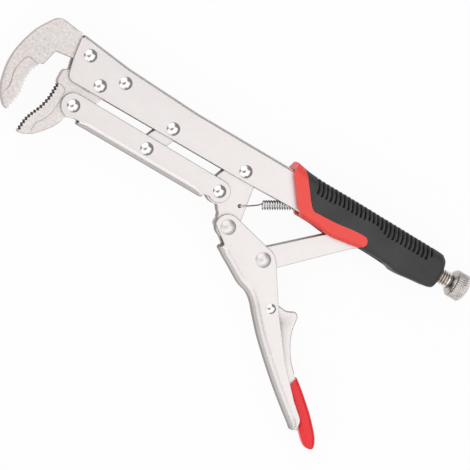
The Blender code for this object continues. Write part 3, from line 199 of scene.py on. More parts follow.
# Release lever and its dipped sleeve
RELEASE_HALF = 3.0 * MM
RELEASE_REACH = 14.1 * MM
RELEASE_PROUD = 4.5 * MM
RELEASE_BOSS_R = 5.2 * MM
RELEASE_BOSS_START = radians(-75.0)
RELEASE_BOSS_END = radians(-200.0)
RELEASE_HUB_SHARE = 0.96
RELEASE_UNDER_SHARES = (2.4, -0.5)
RELEASE_EDGE = 0.9 * MM
RELEASE_TOP_SHARES = (
    (-0.042, 0.12), (0.01, 0.434), (0.042, 0.57), (0.063, 0.78), (0.077, 0.975), (0.114, 1.0),
    (0.133, 0.918), (0.158, 0.805), (0.191, 0.673), (0.26, 0.49), (0.373, 0.335), (0.467, 0.315))
SLEEVE_HALF = 4.9 * MM
SLEEVE_WALL = 1.5 * MM
SLEEVE_EDGE = 3.1 * MM
SLEEVE_TIP_EDGE = 1.9 * MM
SLEEVE_EDGE_GROWTH = 0.25
SLEEVE_LIP = 0.45 * MM
SLEEVE_LIP_ANGLE = radians(60.0)
SLEEVE_STEPS = 8
SLEEVE_CORE_TIP = (2, 3)
SLEEVE_POCKET_TIP = 3
SLEEVE_TOP_SHARES = (
    (0.506, 0.38), (0.612, 0.456), (0.762, 0.518), (0.863, 0.511), (0.932, 0.478), (0.975, 0.4), (0.999, 0.3),
    (1.003, 0.2))
SLEEVE_BELLY_SHARES = (
    (1.003, 0.2), (0.993, 0.09), (0.972, -0.015), (0.932, -0.07), (0.856, -0.075), (0.727, -0.1),
    (0.553, -0.148))

# Rivets
HOLE_R = 3.1 * MM
HOLE_STEPS = 32
RIVET_STEPS = 56
RIVET_DOME_STEPS = 10
RIVET_SHANK_R = 2.8 * MM
RIVET_SEAT = 0.08 * MM
RIVET_RIM = 0.25 * MM
RIVET_TIP_SHARE = 0.02
FRAME_RIVET = (4.15 * MM, 1.75 * MM)
LEVER_RIVET = (4.9 * MM, 1.9 * MM)
SMALL_RIVET = (3.2 * MM, 1.2 * MM)
SMALL_RIVET_SHANK_R = 1.9 * MM
PIN_HOLE_R = SMALL_RIVET_SHANK_R + SEAT_GAP
JAW_RIVET_FRONT = (14.6 * MM, 13.0 * MM)
JAW_RIVET_REAR = (12.8 * MM, 9.4 * MM)

# Adjusting screw and knob
SCREW_R = 5.1 * MM
SCREW_CORE_R = 4.2 * MM
SCREW_PITCH = 1.75 * MM
SCREW_TIP_GAP = 2.6 * MM
SCREW_STEPS = 48
SCREW_ROWS_PER_TURN = 10
SCREW_NECK = 0.9 * MM
SCREW_NECK_R = 5.25 * MM
SCREW_NECK_LEAD = 1.5
SCREW_NECK_STEEPNESS = 2
SPIGOT_R = SCREW_CORE_R * 0.76
THREAD_ROUNDNESS = 0.6
# Painted shade in the thread's roots fades out between these radii.
THREAD_DARK_R = SCREW_CORE_R + 0.15 * MM
THREAD_BRIGHT_R = SCREW_R - 0.25 * MM
BUSH_LENGTH = 14.7 * MM
KNOB_STANDOFF = 7.2 * MM
KNOB_LENGTH = 13.1 * MM
KNOB_R = 9.2 * MM
KNOB_FRONT_SHARES = (
    (0.0, 0.5), (0.0, 0.62), (0.03, 0.73), (0.1, 0.84), (0.18, 0.94), (0.2, 0.96), (0.213, 0.955),
    (0.222, 0.88), (0.248, 0.88), (0.257, 0.95), (0.275, 0.99))
KNOB_BACK_SHARES = (
    (0.778, 0.99), (0.8, 0.955), (0.85, 0.9), (0.9, 0.81), (0.945, 0.68), (0.985, 0.52), (1.0, 0.4),
    (1.0, 0.15))
KNOB_NECK_SHARE = 0.213
KNURL_COUNT = 38
KNURL_PITCH = 1.5 * MM
KNURL_STEPS = 4
KNURL_DEPTH = 0.42 * MM
KNOB_NECK_FADE = 0.2 * MM

# Tension spring
WIRE = 0.9 * MM
HOOK_REACH = 5 * WIRE
HOOK_PASS_SHARE = 0.4
TAIL_REACH = 4 * WIRE
COIL_LEAD = 2 * WIRE
LEAST_CURL_SHARE = 0.25
SPRING_R = 2.7 * MM
SPRING_PITCH = 1.58 * MM
SPRING_CURLS = 22
CURL_POINTS = 24
SPRING_LEAD = 14.8 * MM
SPRING_LIFT = 0.3 * MM
HOOK_TAIL = 1.6 * MM
WIRE_STEPS = 10

# Grip: shares of its end's place along the tool, then of its walls above, below and beside
GRIP_WALL = 2.8 * MM
GRIP_SIDE_WALL = 5.0 * MM
GRIP_END_WALL = 4.2 * MM
GRIP_CORNER_SHARES = (1.35, 1.35, 0.8, 0.8)
GRIP_CORNER_STEPS = 8
GRIP_CORNER_WIDEST = 0.9
GRIP_CORNER_TALLEST = 0.45
GRIP_FLAT_STEPS = (5, 12, 5, 12)
GRIP_STATION_SHARES = (
    (0.14, 2.3, 1.9, 1.0), (0.19, 1.95, 1.8, 1.0), (0.25, 1.4, 1.75, 1.0), (0.32, 1.16, 1.6, 1.0),
    (0.39, 1.12, 1.72, 1.0), (0.47, 1.1, 2.1, 1.0), (0.565, 1.04, 1.5, 1.0), (0.64, 0.97, 1.0, 1.0),
    (0.76, 0.89, 1.2, 1.0), (0.8, 0.85, 1.62, 1.0), (0.84, 0.83, 1.58, 1.0), (0.9, 0.78, 1.2, 1.0),
    (0.955, 0.66, 0.92, 1.0), (0.97, 0.3, 0.74, 0.96), (0.983, -0.2, 0.45, 0.84), (0.99, -0.8, 0.0, 0.64),
    (0.9925, -1.3, -0.4, 0.48))
GRIP_RIM_SHARES = (
    (0.186, 2.2), (0.186, 1.2), (0.184, 0.9), (0.197, 0.546), (0.226, 0.089), (0.28, -0.734), (0.297, -0.885),
    (0.33, -1.6))
RED_EDGE_SHARES = (
    (0.215, 2.2), (0.229, 1.18), (0.247, 0.88), (0.265, 0.58), (0.285, 0.29), (0.315, -0.17),
    (0.334, -0.4), (0.352, -0.5), (0.38, -0.49),
    (0.47, -0.43), (0.547, -0.31), (0.6, -0.28), (0.619, -0.37), (0.627, -0.58), (0.62, -0.8), (0.6, -1.0),
    (0.58, -1.6))
GRIP_SLOT_END_SHARE = 0.75
GRIP_SLOT_DROP = 3
GRIP_LEFT_SHARE = -0.1
GRIP_END_FINENESS = 3
GRIP_STEP = 1.2 * MM
GROOVE_STEP = 0.28 * MM
SEAM_GAP = 0.22 * MM
GROOVE_COUNT = 28
GROOVE_WIDTH = 2.0 * MM
GROOVE_EDGE = 0.75 * MM
GROOVE_DEPTH = 1.4 * MM
GROOVE_CURL_R = 10.6 * MM
GROOVE_CURL_SHARE = 0.41
GROOVE_FIRST_SHARE = 0.322
GROOVE_LAST_SHARE = 0.9125
GROOVE_LOW_SHARES = ((0.0, 0.42), (0.52, 0.6), (0.6, 0.36), (0.965, 0.34), (1.0, 0.62))

BUSH_END = FRAME_TAIL + SEAT_GAP + BUSH_LENGTH
GRIP_END = BUSH_END + SEAT_GAP + GRIP_END_WALL
GRIP_HEIGHT_SHARE = 0.66
GRIP_HEIGHT = (FRAME_RISE + FRAME_REAR_FALL) * GRIP_HEIGHT_SHARE
GROOVE_FIRST = GRIP_END * GROOVE_FIRST_SHARE
KNOB_FRONT = GRIP_END + KNOB_STANDOFF

# Camera and light
CAMERA_SIDE = Vector((-0.190621, -0.031043, 0.981173))
CAMERA_UP = Vector((-0.495410, 0.865926, -0.068851))
CAMERA_DISTANCE = 2.5
CAMERA_TARGET = Vector((0.014467, 0.015674, 0.0185))
CAMERA_LENS = 308.855
CAMERA_SENSOR = 36.0
CAMERA_REACH = 50.0
FLOOR_SIZE = 12.0
LAMP_DISTANCE = 3.6
WATTS_PER_RADIANCE = pi
WORLD_LEVEL = 0.25
FLOOR_WHITE_SHARE = 0.93
FLOOR_TONE = 0.97
FLOOR_ROUGHNESS = 0.9

# Lamps: name, tilt from the camera, turn in its picture, width, height and radiance
LAMPS = (
    ("upper_softbox", 36.0, 105.0, 5.0, 4.0, 1.03),
    ("right_softbox", 37.0, -32.0, 4.4, 3.2, 1.01),
    ("left_softbox", 45.0, 235.0, 4.6, 3.0, 0.95))


def polar(radius, angle):
    return Vector((radius * cos(angle), radius * sin(angle)))


# Pivots at rest, in the tool frame
LINK_DOWN = polar(LINK_LENGTH, -pi / 2 - LINK_LEAN)
CRANK_PIVOT = Vector((0.0, 0.0))
MID_PIVOT = Vector((-PIVOT_PITCH, 0.0))
JAW_PIVOT = Vector((-2 * PIVOT_PITCH, 0.0))
BAR_REAR = CRANK_PIVOT + LINK_DOWN
BAR_MIDDLE = MID_PIVOT + LINK_DOWN
BAR_FRONT = JAW_PIVOT + LINK_DOWN
LEVER_PIVOT = polar(CRANK_ARM, -pi / 2 + CRANK_LEAN)
TOGGLE_PIVOT = LEVER_PIVOT + polar(LEVER_ARM, LEVER_ARM_ANGLE)
TOGGLE_TAIL = Vector((TOGGLE_TAIL_X, SCREW_RISE))
HOOK_HOLE = Vector((HOOK_HOLE_BACK, -HOOK_HOLE_DROP))
ANCHOR = Vector((ANCHOR_X, FRAME_RISE - SHEET - ANCHOR_DROP))
TOGGLE_LENGTH = (TOGGLE_TAIL - TOGGLE_PIVOT).length
TOGGLE_LEAN = atan2(*reversed(TOGGLE_TAIL - TOGGLE_PIVOT))
LINK_SIDE = atan2(LINK_DOWN.y, LINK_DOWN.x) + pi / 2


def in_lever(along, across):
    return LEVER_PIVOT + Matrix.Rotation(LEVER_HANG, 2) @ Vector((along, across))


def in_toggle(along, across):
    return TOGGLE_PIVOT + Matrix.Rotation(TOGGLE_LEAN, 2) @ Vector((along, across))


def rivet_centre(node):
    low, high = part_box(node)
    return (low + high) / 2


RELEASE_PIVOT = in_lever(RELEASE_ALONG, RELEASE_RISE)
ORIGIN = rivet_centre("crank_pivot_rivet")
KNOB_NECK_END = ORIGIN.x + KNOB_FRONT + KNOB_LENGTH * KNOB_NECK_SHARE
KNOB_PLACE = ORIGIN + Vector((KNOB_FRONT, SCREW_RISE, 0.0))


# Outlines

def arc(centre, radius, start, end, steps):
    turns = [start + (end - start) * step / steps for step in range(steps + 1)]
    return [Vector(centre) + polar(radius, turn) for turn in turns]


def curve_through(points, steps):
    """Points of a smooth curve through the given points, in any number of dimensions."""
    points = [Vector(point) for point in points]
    padded = [2 * points[0] - points[1]] + points + [2 * points[-1] - points[-2]]
    curve = [points[0]]
    for before, start, end, after in zip(padded, padded[1:], padded[2:], padded[3:]):
        for step in range(1, steps + 1):
            t = step / steps
            curve.append(0.5 * (2 * start + (end - before) * t
                                + (2 * before - 5 * start + 4 * end - after) * t ** 2
                                + (3 * start - before - 3 * end + after) * t ** 3))
    return curve


def round_corner(before, corner, after, radius, steps):
    """Points of the fillet that a corner gets, limited by its two sides."""
    into = (before - corner).normalized()
    out = (after - corner).normalized()
    half = into.angle(out) / 2
    longest = min((before - corner).length, (after - corner).length) / 2
    reach = min(radius / tan(half), longest)
    radius = reach * tan(half)
    centre = corner + (into + out).normalized() * (radius / sin(half))
    start = corner + into * reach - centre
    end = corner + out * reach - centre
    first = atan2(start.y, start.x)
    turn = atan2(start.cross(end), start.dot(end))
    return arc(centre, radius, first, first + turn, steps)


def beside(path, distances):
    """A path moved sideways, to the left of its direction, by one distance for each point."""
    moved = []
    for index, point in enumerate(path):
        before = path[max(index - 1, 0)]
        after = path[min(index + 1, len(path) - 1)]
        along = (after - before).normalized()
        moved.append(point + Vector((-along.y, along.x)) * distances[index])
    return moved


def aside(path, distance):
    return beside(path, [distance] * len(path))


def lengths_along(path):
    lengths = [0.0]
    for start, end in zip(path, path[1:]):
        lengths.append(lengths[-1] + (end - start).length)
    return lengths


def spot_along(path, lengths, goal):
    """The point at a length along a path, and the path's direction there."""
    index = next((i for i in range(1, len(path)) if lengths[i] >= goal), len(path) - 1)
    along = (path[index] - path[index - 1]).normalized()
    return path[index - 1] + along * (goal - lengths[index - 1]), along


def spots(*pairs):
    return [Vector(pair) for pair in pairs]


def in_middle(point):
    """A point of an outline, in the plane halfway through the tool."""
    return Vector((*point, 0.0))


def circle(radius, steps):
    return [polar(radius, 2 * pi * step / steps) for step in range(steps)]


def scaled(shares, x_size, y_size, origin):
    return spots(*((origin[0] + x * x_size, origin[1] + y * y_size) for x, y in shares))


def jaw_points(shares):
    return scaled(shares, -JAW_REACH, JAW_DROP, JAW_PIVOT)


def jaw_curve(shares, steps):
    return curve_through(jaw_points(shares), steps)


def lever_point(x, y):
    return in_lever(x * LEVER_LENGTH, y * LEVER_DEPTH)


def release_points(shares):
    length = LEVER_LENGTH + RELEASE_REACH - RELEASE_ALONG
    height = LEVER_DEPTH + RELEASE_PROUD - RELEASE_RISE
    return [in_lever(RELEASE_ALONG + x * length, RELEASE_RISE + y * height) for x, y in shares]


def teeth_along(bite):
    """A zigzag along a jaw's bite: tips on it, roots behind it."""
    path = bite[::-1]
    lengths = lengths_along(path)
    count = round(lengths[-1] / TOOTH_PITCH)
    marks = []
    for half in range(2 * count + 1):
        point, along = spot_along(path, lengths, lengths[-1] * half / (2 * count))
        marks.append(point + Vector((along.y, -along.x)) * (TOOTH_DEPTH if half % 2 else 0.0))
    return marks[::-1]


def between_stations(stations, share):
    """The values at a share along stations of (share, values in turn)."""
    for low, high in zip(stations, stations[1:]):
        if share <= high[0]:
            break
    part = (share - low[0]) / (high[0] - low[0])
    return [start + (end - start) * part for start, end in zip(low[1:], high[1:])]


def ring_area(outline):
    return sum(a.cross(b) for a, b in zip(outline, outline[1:] + outline[:1])) / 2


# Meshes

def plate(outline, half):
    """A plate as thick as twice its half, with its faces pointing out."""
    if ring_area(outline) < 0:
        outline = outline[::-1]
    mesh = bmesh.new()
    bottom = [mesh.verts.new((point.x, point.y, -half)) for point in outline]
    top = [mesh.verts.new((point.x, point.y, half)) for point in outline]
    mesh.faces.new(bottom[::-1])
    mesh.faces.new(top)
    for index in range(len(outline)):
        after = (index + 1) % len(outline)
        mesh.faces.new((bottom[index], bottom[after], top[after], top[index]))
    return mesh


def shrunk(outline, distances):
    """A closed outline, laid out anticlockwise, moved inwards by one distance for each point."""
    moved = []
    for index, point in enumerate(outline):
        into = (point - outline[index - 1]).normalized()
        out = (outline[(index + 1) % len(outline)] - point).normalized()
        along = (into + out).normalized()
        inwards = Vector((-along.y, along.x))
        mitre = max(along.dot(into), 1 / LONGEST_MITRE)
        moved.append(point + inwards * (distances[index] / mitre))
    return moved


def quarter_turns(steps):
    """For each step of a rounded edge, its shares of the edge's radius inwards and down."""
    turns = [pi / 2 * step / steps for step in range(steps + 1)]
    return [(1 - sin(turn), 1 - cos(turn)) for turn in turns]


def soft_plate(stretches, half, steps=4):
    """A plate with a rounded rim, from (points, edge radius) stretches of its outline."""
    outline = [point for points, radius in stretches for point in points]
    radii = [radius for points, radius in stretches for point in points]
    if ring_area(outline) < 0:
        outline = outline[::-1]
        radii = radii[::-1]
    rows = []
    for inwards, down in quarter_turns(steps):
        rim = shrunk(outline, [radius * inwards for radius in radii])
        heights = [half - radius * down for radius in radii]
        rows.append([Vector((point.x, point.y, height)) for point, height in zip(rim, heights)])
    rows += [[Vector((x, y, -z)) for x, y, z in row] for row in reversed(rows)]
    mesh = skin(rows)
    bmesh.ops.remove_doubles(mesh, verts=mesh.verts, dist=SAME_PLACE)
    return mesh


def skin(rings):
    """A closed solid through rings of points, capped at both ends."""
    mesh = bmesh.new()
    loops = [[mesh.verts.new(point) for point in ring] for ring in rings]
    for low, high in zip(loops, loops[1:]):
        for index in range(len(low)):
            after = (index + 1) % len(low)
            mesh.faces.new((low[index], low[after], high[after], high[index]))
    mesh.faces.new(loops[0][::-1])
    mesh.faces.new(loops[-1])
    bmesh.ops.recalc_face_normals(mesh, faces=mesh.faces)
    return mesh


def turned(profile, steps, place, along_x=False):
    """A turned solid from (height, radius) pairs."""
    rings = []
    for height, radius in profile:
        points = [(height, *spot) if along_x else (*spot, height) for spot in circle(radius, steps)]
        rings.append([Vector(point) + Vector(place) for point in points])
    return skin(rings)


def bored(radius, x, ends):
    """A plug round the adjusting screw's axis, to be cut out or joined on."""
    return turned([(end, radius) for end in ends], HOLE_STEPS, (x, SCREW_RISE, 0.0), along_x=True)


def axis_ring(x, radii):
    """A ring round the adjusting screw's axis, from its radius at each step."""
    around = [polar(radius, 2 * pi * step / len(radii)) for step, radius in enumerate(radii)]
    return [Vector((x, SCREW_RISE + spot.x, spot.y)) for spot in around]


def holes(places, radius=HOLE_R):
    ends = [(-CHANNEL_HALF * 2, radius), (CHANNEL_HALF * 2, radius)]
    return [turned(ends, HOLE_STEPS, in_middle(place)) for place in places]


def as_data(mesh):
    data = bpy.data.meshes.new("blank")
    mesh.to_mesh(data)
    mesh.free()
    return data


def added(name, data):
    thing = bpy.data.objects.new(name, data)
    bpy.context.collection.objects.link(thing)
    return thing


def worked(data, steps):
    """The mesh that a list of (modifier kind, settings) steps makes of a blank."""
    thing = added("blank", data)
    for kind, settings in steps:
        step = thing.modifiers.new(kind, kind)
        for key, value in settings.items():
            setattr(step, key, value)
    graph = bpy.context.evaluated_depsgraph_get()
    done = bpy.data.meshes.new_from_object(thing.evaluated_get(graph))
    bpy.data.objects.remove(thing)
    return done


def softened(width, angle, **settings):
    """The step that rounds every edge sharper than an angle."""
    return 'BEVEL', {"width": width, "segments": EDGE_STEPS, "limit_method": 'ANGLE', "angle_limit": angle,
                     **settings}


def cut(data, tools, operation='DIFFERENCE'):
    helpers = [added("blank", as_data(tool)) for tool in tools]
    settings = {"solver": 'EXACT', "operation": operation}
    done = worked(data, [('BOOLEAN', {**settings, "object": helper}) for helper in helpers])
    for helper in helpers:
        bpy.data.objects.remove(helper)
    return done


def folded_channel(rest, spine, inward, bend):
    """Bent sheet metal: two cheeks and the web along their spine, with soft stamped edges.

    rest is the cheek's outline from the spine's end back to its start. The bend's radius grows
    from each end of the spine, because the blank is cut nearly square there.
    """
    lengths = lengths_along(spine)
    least = min(SMALLEST_BEND, bend)
    bends = []
    for length in lengths:
        room = min(length, lengths[-1] - length) / BEND_TAPER
        bends.append(least + (bend - least) * sin(min(room, 1.0) * pi / 2))
    mesh = bmesh.new()
    rows = []
    for inwards, down in quarter_turns(BEND_STEPS):
        row = beside(spine, [inward * radius * inwards for radius in bends])
        heights = [CHANNEL_HALF - radius * down for radius in bends]
        rows.append([(point.x, point.y, height) for point, height in zip(row, heights)])
    rows += [[(x, y, -z) for x, y, z in row] for row in reversed(rows)]
    loops = [[mesh.verts.new(point) for point in row] for row in rows]
    for upper, lower in zip(loops, loops[1:]):
        for index in range(len(upper) - 1):
            mesh.faces.new((upper[index], upper[index + 1], lower[index + 1], lower[index]))
    for loop, height in ((loops[0], CHANNEL_HALF), (loops[-1], -CHANNEL_HALF)):
        mesh.faces.new(loop + [mesh.verts.new((point.x, point.y, height)) for point in rest])
    bmesh.ops.recalc_face_normals(mesh, faces=mesh.faces)
    mesh.faces.ensure_lookup_table()
    if mesh.faces[-2].normal.z < 0:
        bmesh.ops.reverse_faces(mesh, faces=mesh.faces)
    return worked(as_data(mesh), [
        ('SOLIDIFY', {"thickness": SHEET, "offset": -1.0, "use_even_offset": True}),
        softened(STAMPED_EDGE, STAMPED_ANGLE, use_clamp_overlap=False)])


def piece(name, data, look, body, node, smooth=35.0):
    """One finished piece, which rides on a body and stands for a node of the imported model."""
    data.transform(Matrix.Translation(ORIGIN))
    data.materials.clear()
    data.materials.append(look)
    data.shade_smooth()
    data.set_sharp_from_angle(angle=radians(smooth))
    thing = added(name, data)
    shading = thing.modifiers.new("even_shading", 'WEIGHTED_NORMAL')
    shading.keep_sharp = True
    if body:
        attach(thing, body)
    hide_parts(node)
    return thing


# Shared effects of the finishes

def fill(tree, made, inputs):
    """Sets a node's inputs: a socket is linked and anything else is a plain value."""
    for key, value in inputs.items():
        if isinstance(value, bpy.types.NodeSocket):
            tree.links.new(value, made.inputs[key])
        else:
            made.inputs[key].default_value = value
    return made


def node(tree, kind, inputs, **settings):
    made = tree.nodes.new("ShaderNode" + kind)
    for key, value in settings.items():
        setattr(made, key, value)
    return fill(tree, made, inputs)


def maths(tree, operation, *inputs, clamped=False):
    return node(tree, "Math", dict(enumerate(inputs)), operation=operation, use_clamp=clamped).outputs[0]


def ramp(tree, value, start, end, low=0.0, high=1.0):
    """A value brought from the range start to end into the range low to high."""
    return node(tree, "MapRange", {"Value": value, "From Min": start, "From Max": end, "To Min": low,
                                   "To Max": high}).outputs["Result"]


def effect(name, inputs, build):
    """A shared shader group, whose outputs build makes from its inputs. A vector has no value yet."""
    group = bpy.data.node_groups.new(name, 'ShaderNodeTree')
    for label, value in inputs.items():
        kind = 'NodeSocketVector' if value is None else 'NodeSocketFloat'
        socket = group.interface.new_socket(label, in_out='INPUT', socket_type=kind)
        if value is not None:
            socket.default_value = value
    made = build(group, group.nodes.new("NodeGroupInput").outputs)
    for label in made:
        group.interface.new_socket(label, in_out='OUTPUT', socket_type='NodeSocketFloat')
    fill(group, group.nodes.new("NodeGroupOutput"), made)
    return group


def cloudy_patches(group, given):
    """Broad cloudy patches, from 0 to 1, as tumbled plating and moulded rubber show."""
    noise = node(group, "TexNoise", {
        "Vector": given["Place"], "Scale": given["Scale"], "Detail": 4.0, "Roughness": 0.6})
    centred = maths(group, 'SUBTRACT', noise.outputs[0], 0.5)
    spread = maths(group, 'MULTIPLY', centred, given["Contrast"])
    return {"Patches": maths(group, 'ADD', spread, 0.5, clamped=True)}


def fine_grain(group, given):
    """Fine surface grain: pebbles or smooth specks, with a finer noise over them."""
    where = {"Vector": given["Place"], "Scale": given["Scale"]}
    noise = node(group, "TexNoise", {**where, "Detail": 3.0, "Roughness": 0.55})
    cells = node(group, "TexVoronoi", {**where, "Smoothness": 0.8}, feature='SMOOTH_F1')
    parts = {"Factor": given["Pebbles"], "A": noise.outputs[0], "B": cells.outputs["Distance"]}
    return {"Height": node(group, "Mix", parts, data_type='FLOAT').outputs["Result"]}


def worn_and_highlit_edges(group, given):
    """Masks of raised edges, broken by noise (wear and painted highlight), and of hollows (painted shade)."""
    shape = node(group, "NewGeometry", {}).outputs["Pointiness"]
    noise = node(group, "TexNoise", {"Vector": given["Place"], "Scale": given["Scale"], "Detail": 2.0})
    raised = ramp(group, shape, given["Edge Start"], given["Edge End"])
    return {"Edges": maths(group, 'MULTIPLY', raised, noise.outputs[0], clamped=True),
            "Hollows": ramp(group, shape, given["Hollow Start"], given["Hollow End"])}


def shaded_flanks(group, given):
    """Masks of bends and side faces, for painted shade, and of the faces turned towards the jaws' end."""
    facing = node(group, "SeparateXYZ", {0: node(group, "TexCoord", {}).outputs["Normal"]}).outputs
    level = maths(group, 'ABSOLUTE', facing["Z"])
    return {"Mask": ramp(group, level, given["Flat"], given["Upright"]),
            "Forward": ramp(group, facing["X"], *FORWARD_RANGE)}


def one_stretch(group, given):
    """A mask of everything before a place along one direction of the piece."""
    reach = node(group, "VectorMath", {0: given["Place"], 1: given["Direction"]}, operation='DOT_PRODUCT')
    return {"Mask": ramp(group, reach.outputs["Value"], given["Start"], given["End"], 1.0, 0.0)}


def turned_cuts(group, given):
    """Masks for turned pieces, about an axis along the tool: thread roots and diamond cuts, for painted
    shade.
    """
    away = node(group, "VectorMath", {0: given["Place"], 1: given["Axis"]}, operation='SUBTRACT').outputs[0]
    across = node(group, "VectorMath", {0: away, 1: (0.0, 1.0, 1.0)}, operation='MULTIPLY').outputs[0]
    radius = node(group, "VectorMath", {0: across}, operation='LENGTH').outputs["Value"]
    part = node(group, "SeparateXYZ", {0: away}).outputs
    turns = maths(group, 'DIVIDE', maths(group, 'ARCTAN2', part["Z"], part["Y"]), 2 * pi)
    around = maths(group, 'MULTIPLY', turns, given["Count"])
    along = maths(group, 'DIVIDE', part["X"], given["Pitch"])
    cuts = [maths(group, 'PINGPONG', maths(group, way, around, along), 0.5) for way in ('ADD', 'SUBTRACT')]
    return {"Roots": ramp(group, radius, given["Root"], given["Crest"], 1.0, 0.0),
            "Diamonds": ramp(group, maths(group, 'MINIMUM', *cuts), *KNURL_CUT_RANGE, 1.0, 0.0)}


FLANK_DULLING = 0.2
FORWARD_RANGE = (-0.1, -0.3)
WALL_RANGE = (0.3, 0.15)
KNURL_CUT_RANGE = (0.08, 0.32)
CLOUDS = effect("cloudy_patches", {"Place": None, "Scale": 60.0, "Contrast": 1.0}, cloudy_patches)
GRAIN = effect("fine_grain", {"Place": None, "Scale": 1500.0, "Pebbles": 0.5}, fine_grain)
WEAR_HIGHLIGHT_AND_SHADE = effect("worn_and_highlit_edges", {
    "Place": None, "Scale": 400.0, "Edge Start": 0.52, "Edge End": 0.62, "Hollow Start": 0.49,
    "Hollow End": 0.41}, worn_and_highlit_edges)
FLANK_SHADE = effect("shaded_flanks", {"Flat": 0.75, "Upright": 0.1}, shaded_flanks)
STRETCH = effect("one_stretch", {
    "Place": None, "Direction": None, "Start": 0.0, "End": 1.0 * MM}, one_stretch)
TURNED = effect("turned_cuts", {
    "Place": None, "Axis": None, "Root": SCREW_CORE_R, "Crest": SCREW_R, "Count": KNURL_COUNT,
    "Pitch": KNURL_PITCH}, turned_cuts)


def placed(tree, group, inputs):
    """The outputs of a shared effect that is placed in a material."""
    return node(tree, "Group", inputs, node_tree=group).outputs


def tinted(tree, colour, mask, tint, kind='MIX'):
    """A colour that turns towards a tint where a mask says so."""
    return node(tree, "Mix", {"Factor": mask, "A": colour, "B": (*tint, 1.0)}, data_type='RGBA',
                blend_type=kind).outputs["Result"]


def finish(name, colours, roughness, metallic, clouds, grain, bump, worn_and_highlit=None, deep=None, flank_shade=None,
           neck=None, cuts=None, tooth_shade=None):
    """A procedural finish.

    colours are the dark and the light tone that the clouds run between, roughness is the same
    pair for gloss, clouds is (scale, contrast), grain is (scale, pebbles) and bump is
    (strength, height in millimetres). worn_and_highlit is the tone of raised edges, part wear and
    part painted highlight, deep is (start, end, tone) of the painted shade in the hollows, flank_shade
    is what bends and side faces are multiplied by as painted shade, neck is (start, end, tone) of
    a turned neck, cuts is (kind, sizes, tone) of the painted shade in the cuts round a turned piece
    and tooth_shade is (start, end, tone) of the painted shade on side faces between teeth.
    """
    material = bpy.data.materials.new(name)
    material.use_nodes = True
    tree = material.node_tree
    place = {"Place": node(tree, "TexCoord", {}).outputs["Object"]}

    def band(direction, start, end):
        return placed(tree, STRETCH, {**place, "Direction": direction, "Start": start, "End": end})["Mask"]

    patches = placed(tree, CLOUDS, {**place, "Scale": clouds[0], "Contrast": clouds[1]})["Patches"]
    colour = tinted(tree, (*colours[0], 1.0), patches, colours[1])
    gloss = ramp(tree, patches, 0.0, 1.0, *roughness)
    hollow = {"Hollow Start": deep[0], "Hollow End": deep[1]} if deep else {}
    edges_and_hollows = placed(tree, WEAR_HIGHLIGHT_AND_SHADE, {**place, **hollow})
    # Raised edges turn lighter: part wear, part painted highlight.
    if worn_and_highlit:
        colour = tinted(tree, colour, edges_and_hollows["Edges"], worn_and_highlit)
    # Hollows turn darker: painted shade.
    if deep:
        colour = tinted(tree, colour, edges_and_hollows["Hollows"], deep[2])
    # Bends and side faces are multiplied darker: painted shade.
    if flank_shade:
        sides = placed(tree, FLANK_SHADE, {})["Mask"]
        colour = tinted(tree, colour, sides, flank_shade, 'MULTIPLY')
        gloss = maths(tree, 'MULTIPLY_ADD', sides, FLANK_DULLING, gloss)
    if neck:
        colour = tinted(tree, colour, band((1.0, 0.0, 0.0), *neck[:2]), neck[2])
    # Side faces between the teeth turn nearly black: painted shade.
    if tooth_shade:
        walls = placed(tree, FLANK_SHADE, {"Flat": WALL_RANGE[0], "Upright": WALL_RANGE[1]})
        biting = maths(tree, 'MULTIPLY', walls["Mask"], walls["Forward"])
        both = maths(tree, 'MULTIPLY', band((0.0, 1.0, 0.0), *tooth_shade[:2]), biting)
        colour = tinted(tree, colour, both, tooth_shade[2])
    # Thread roots and knurl grooves turn darker: painted shade.
    if cuts:
        turning = placed(tree, TURNED, {**place, "Axis": KNOB_PLACE, **cuts[1]})
        colour = tinted(tree, colour, turning[cuts[0]], cuts[2])
    specks = placed(tree, GRAIN, {**place, "Scale": grain[0], "Pebbles": grain[1]})["Height"]
    relief = node(tree, "Bump", {"Strength": bump[0], "Distance": bump[1] * MM, "Height": specks})
    fill(tree, tree.nodes["Principled BSDF"], {
        "Base Color": colour, "Metallic": metallic, "Roughness": gloss, "Normal": relief.outputs["Normal"]})
    return material


# The flank tones darken bends and side faces with painted shade.
PLATED = finish("plated_sheet", ((0.79, 0.75, 0.74), (0.87, 0.825, 0.81)), (0.34, 0.42), 1.0,
                (90.0, 1.6), (1500.0, 0.3), (0.35, 0.03), worn_and_highlit=(0.92, 0.89, 0.88),
                flank_shade=(0.42, 0.40, 0.395))
FORGED = finish("blasted_forging", ((0.65, 0.60, 0.58), (0.93, 0.87, 0.85)), (0.42, 0.52), 1.0,
                (620.0, 2.6), (900.0, 0.7), (1.0, 0.1), worn_and_highlit=(0.9, 0.87, 0.86),
                flank_shade=(0.75, 0.73, 0.72))
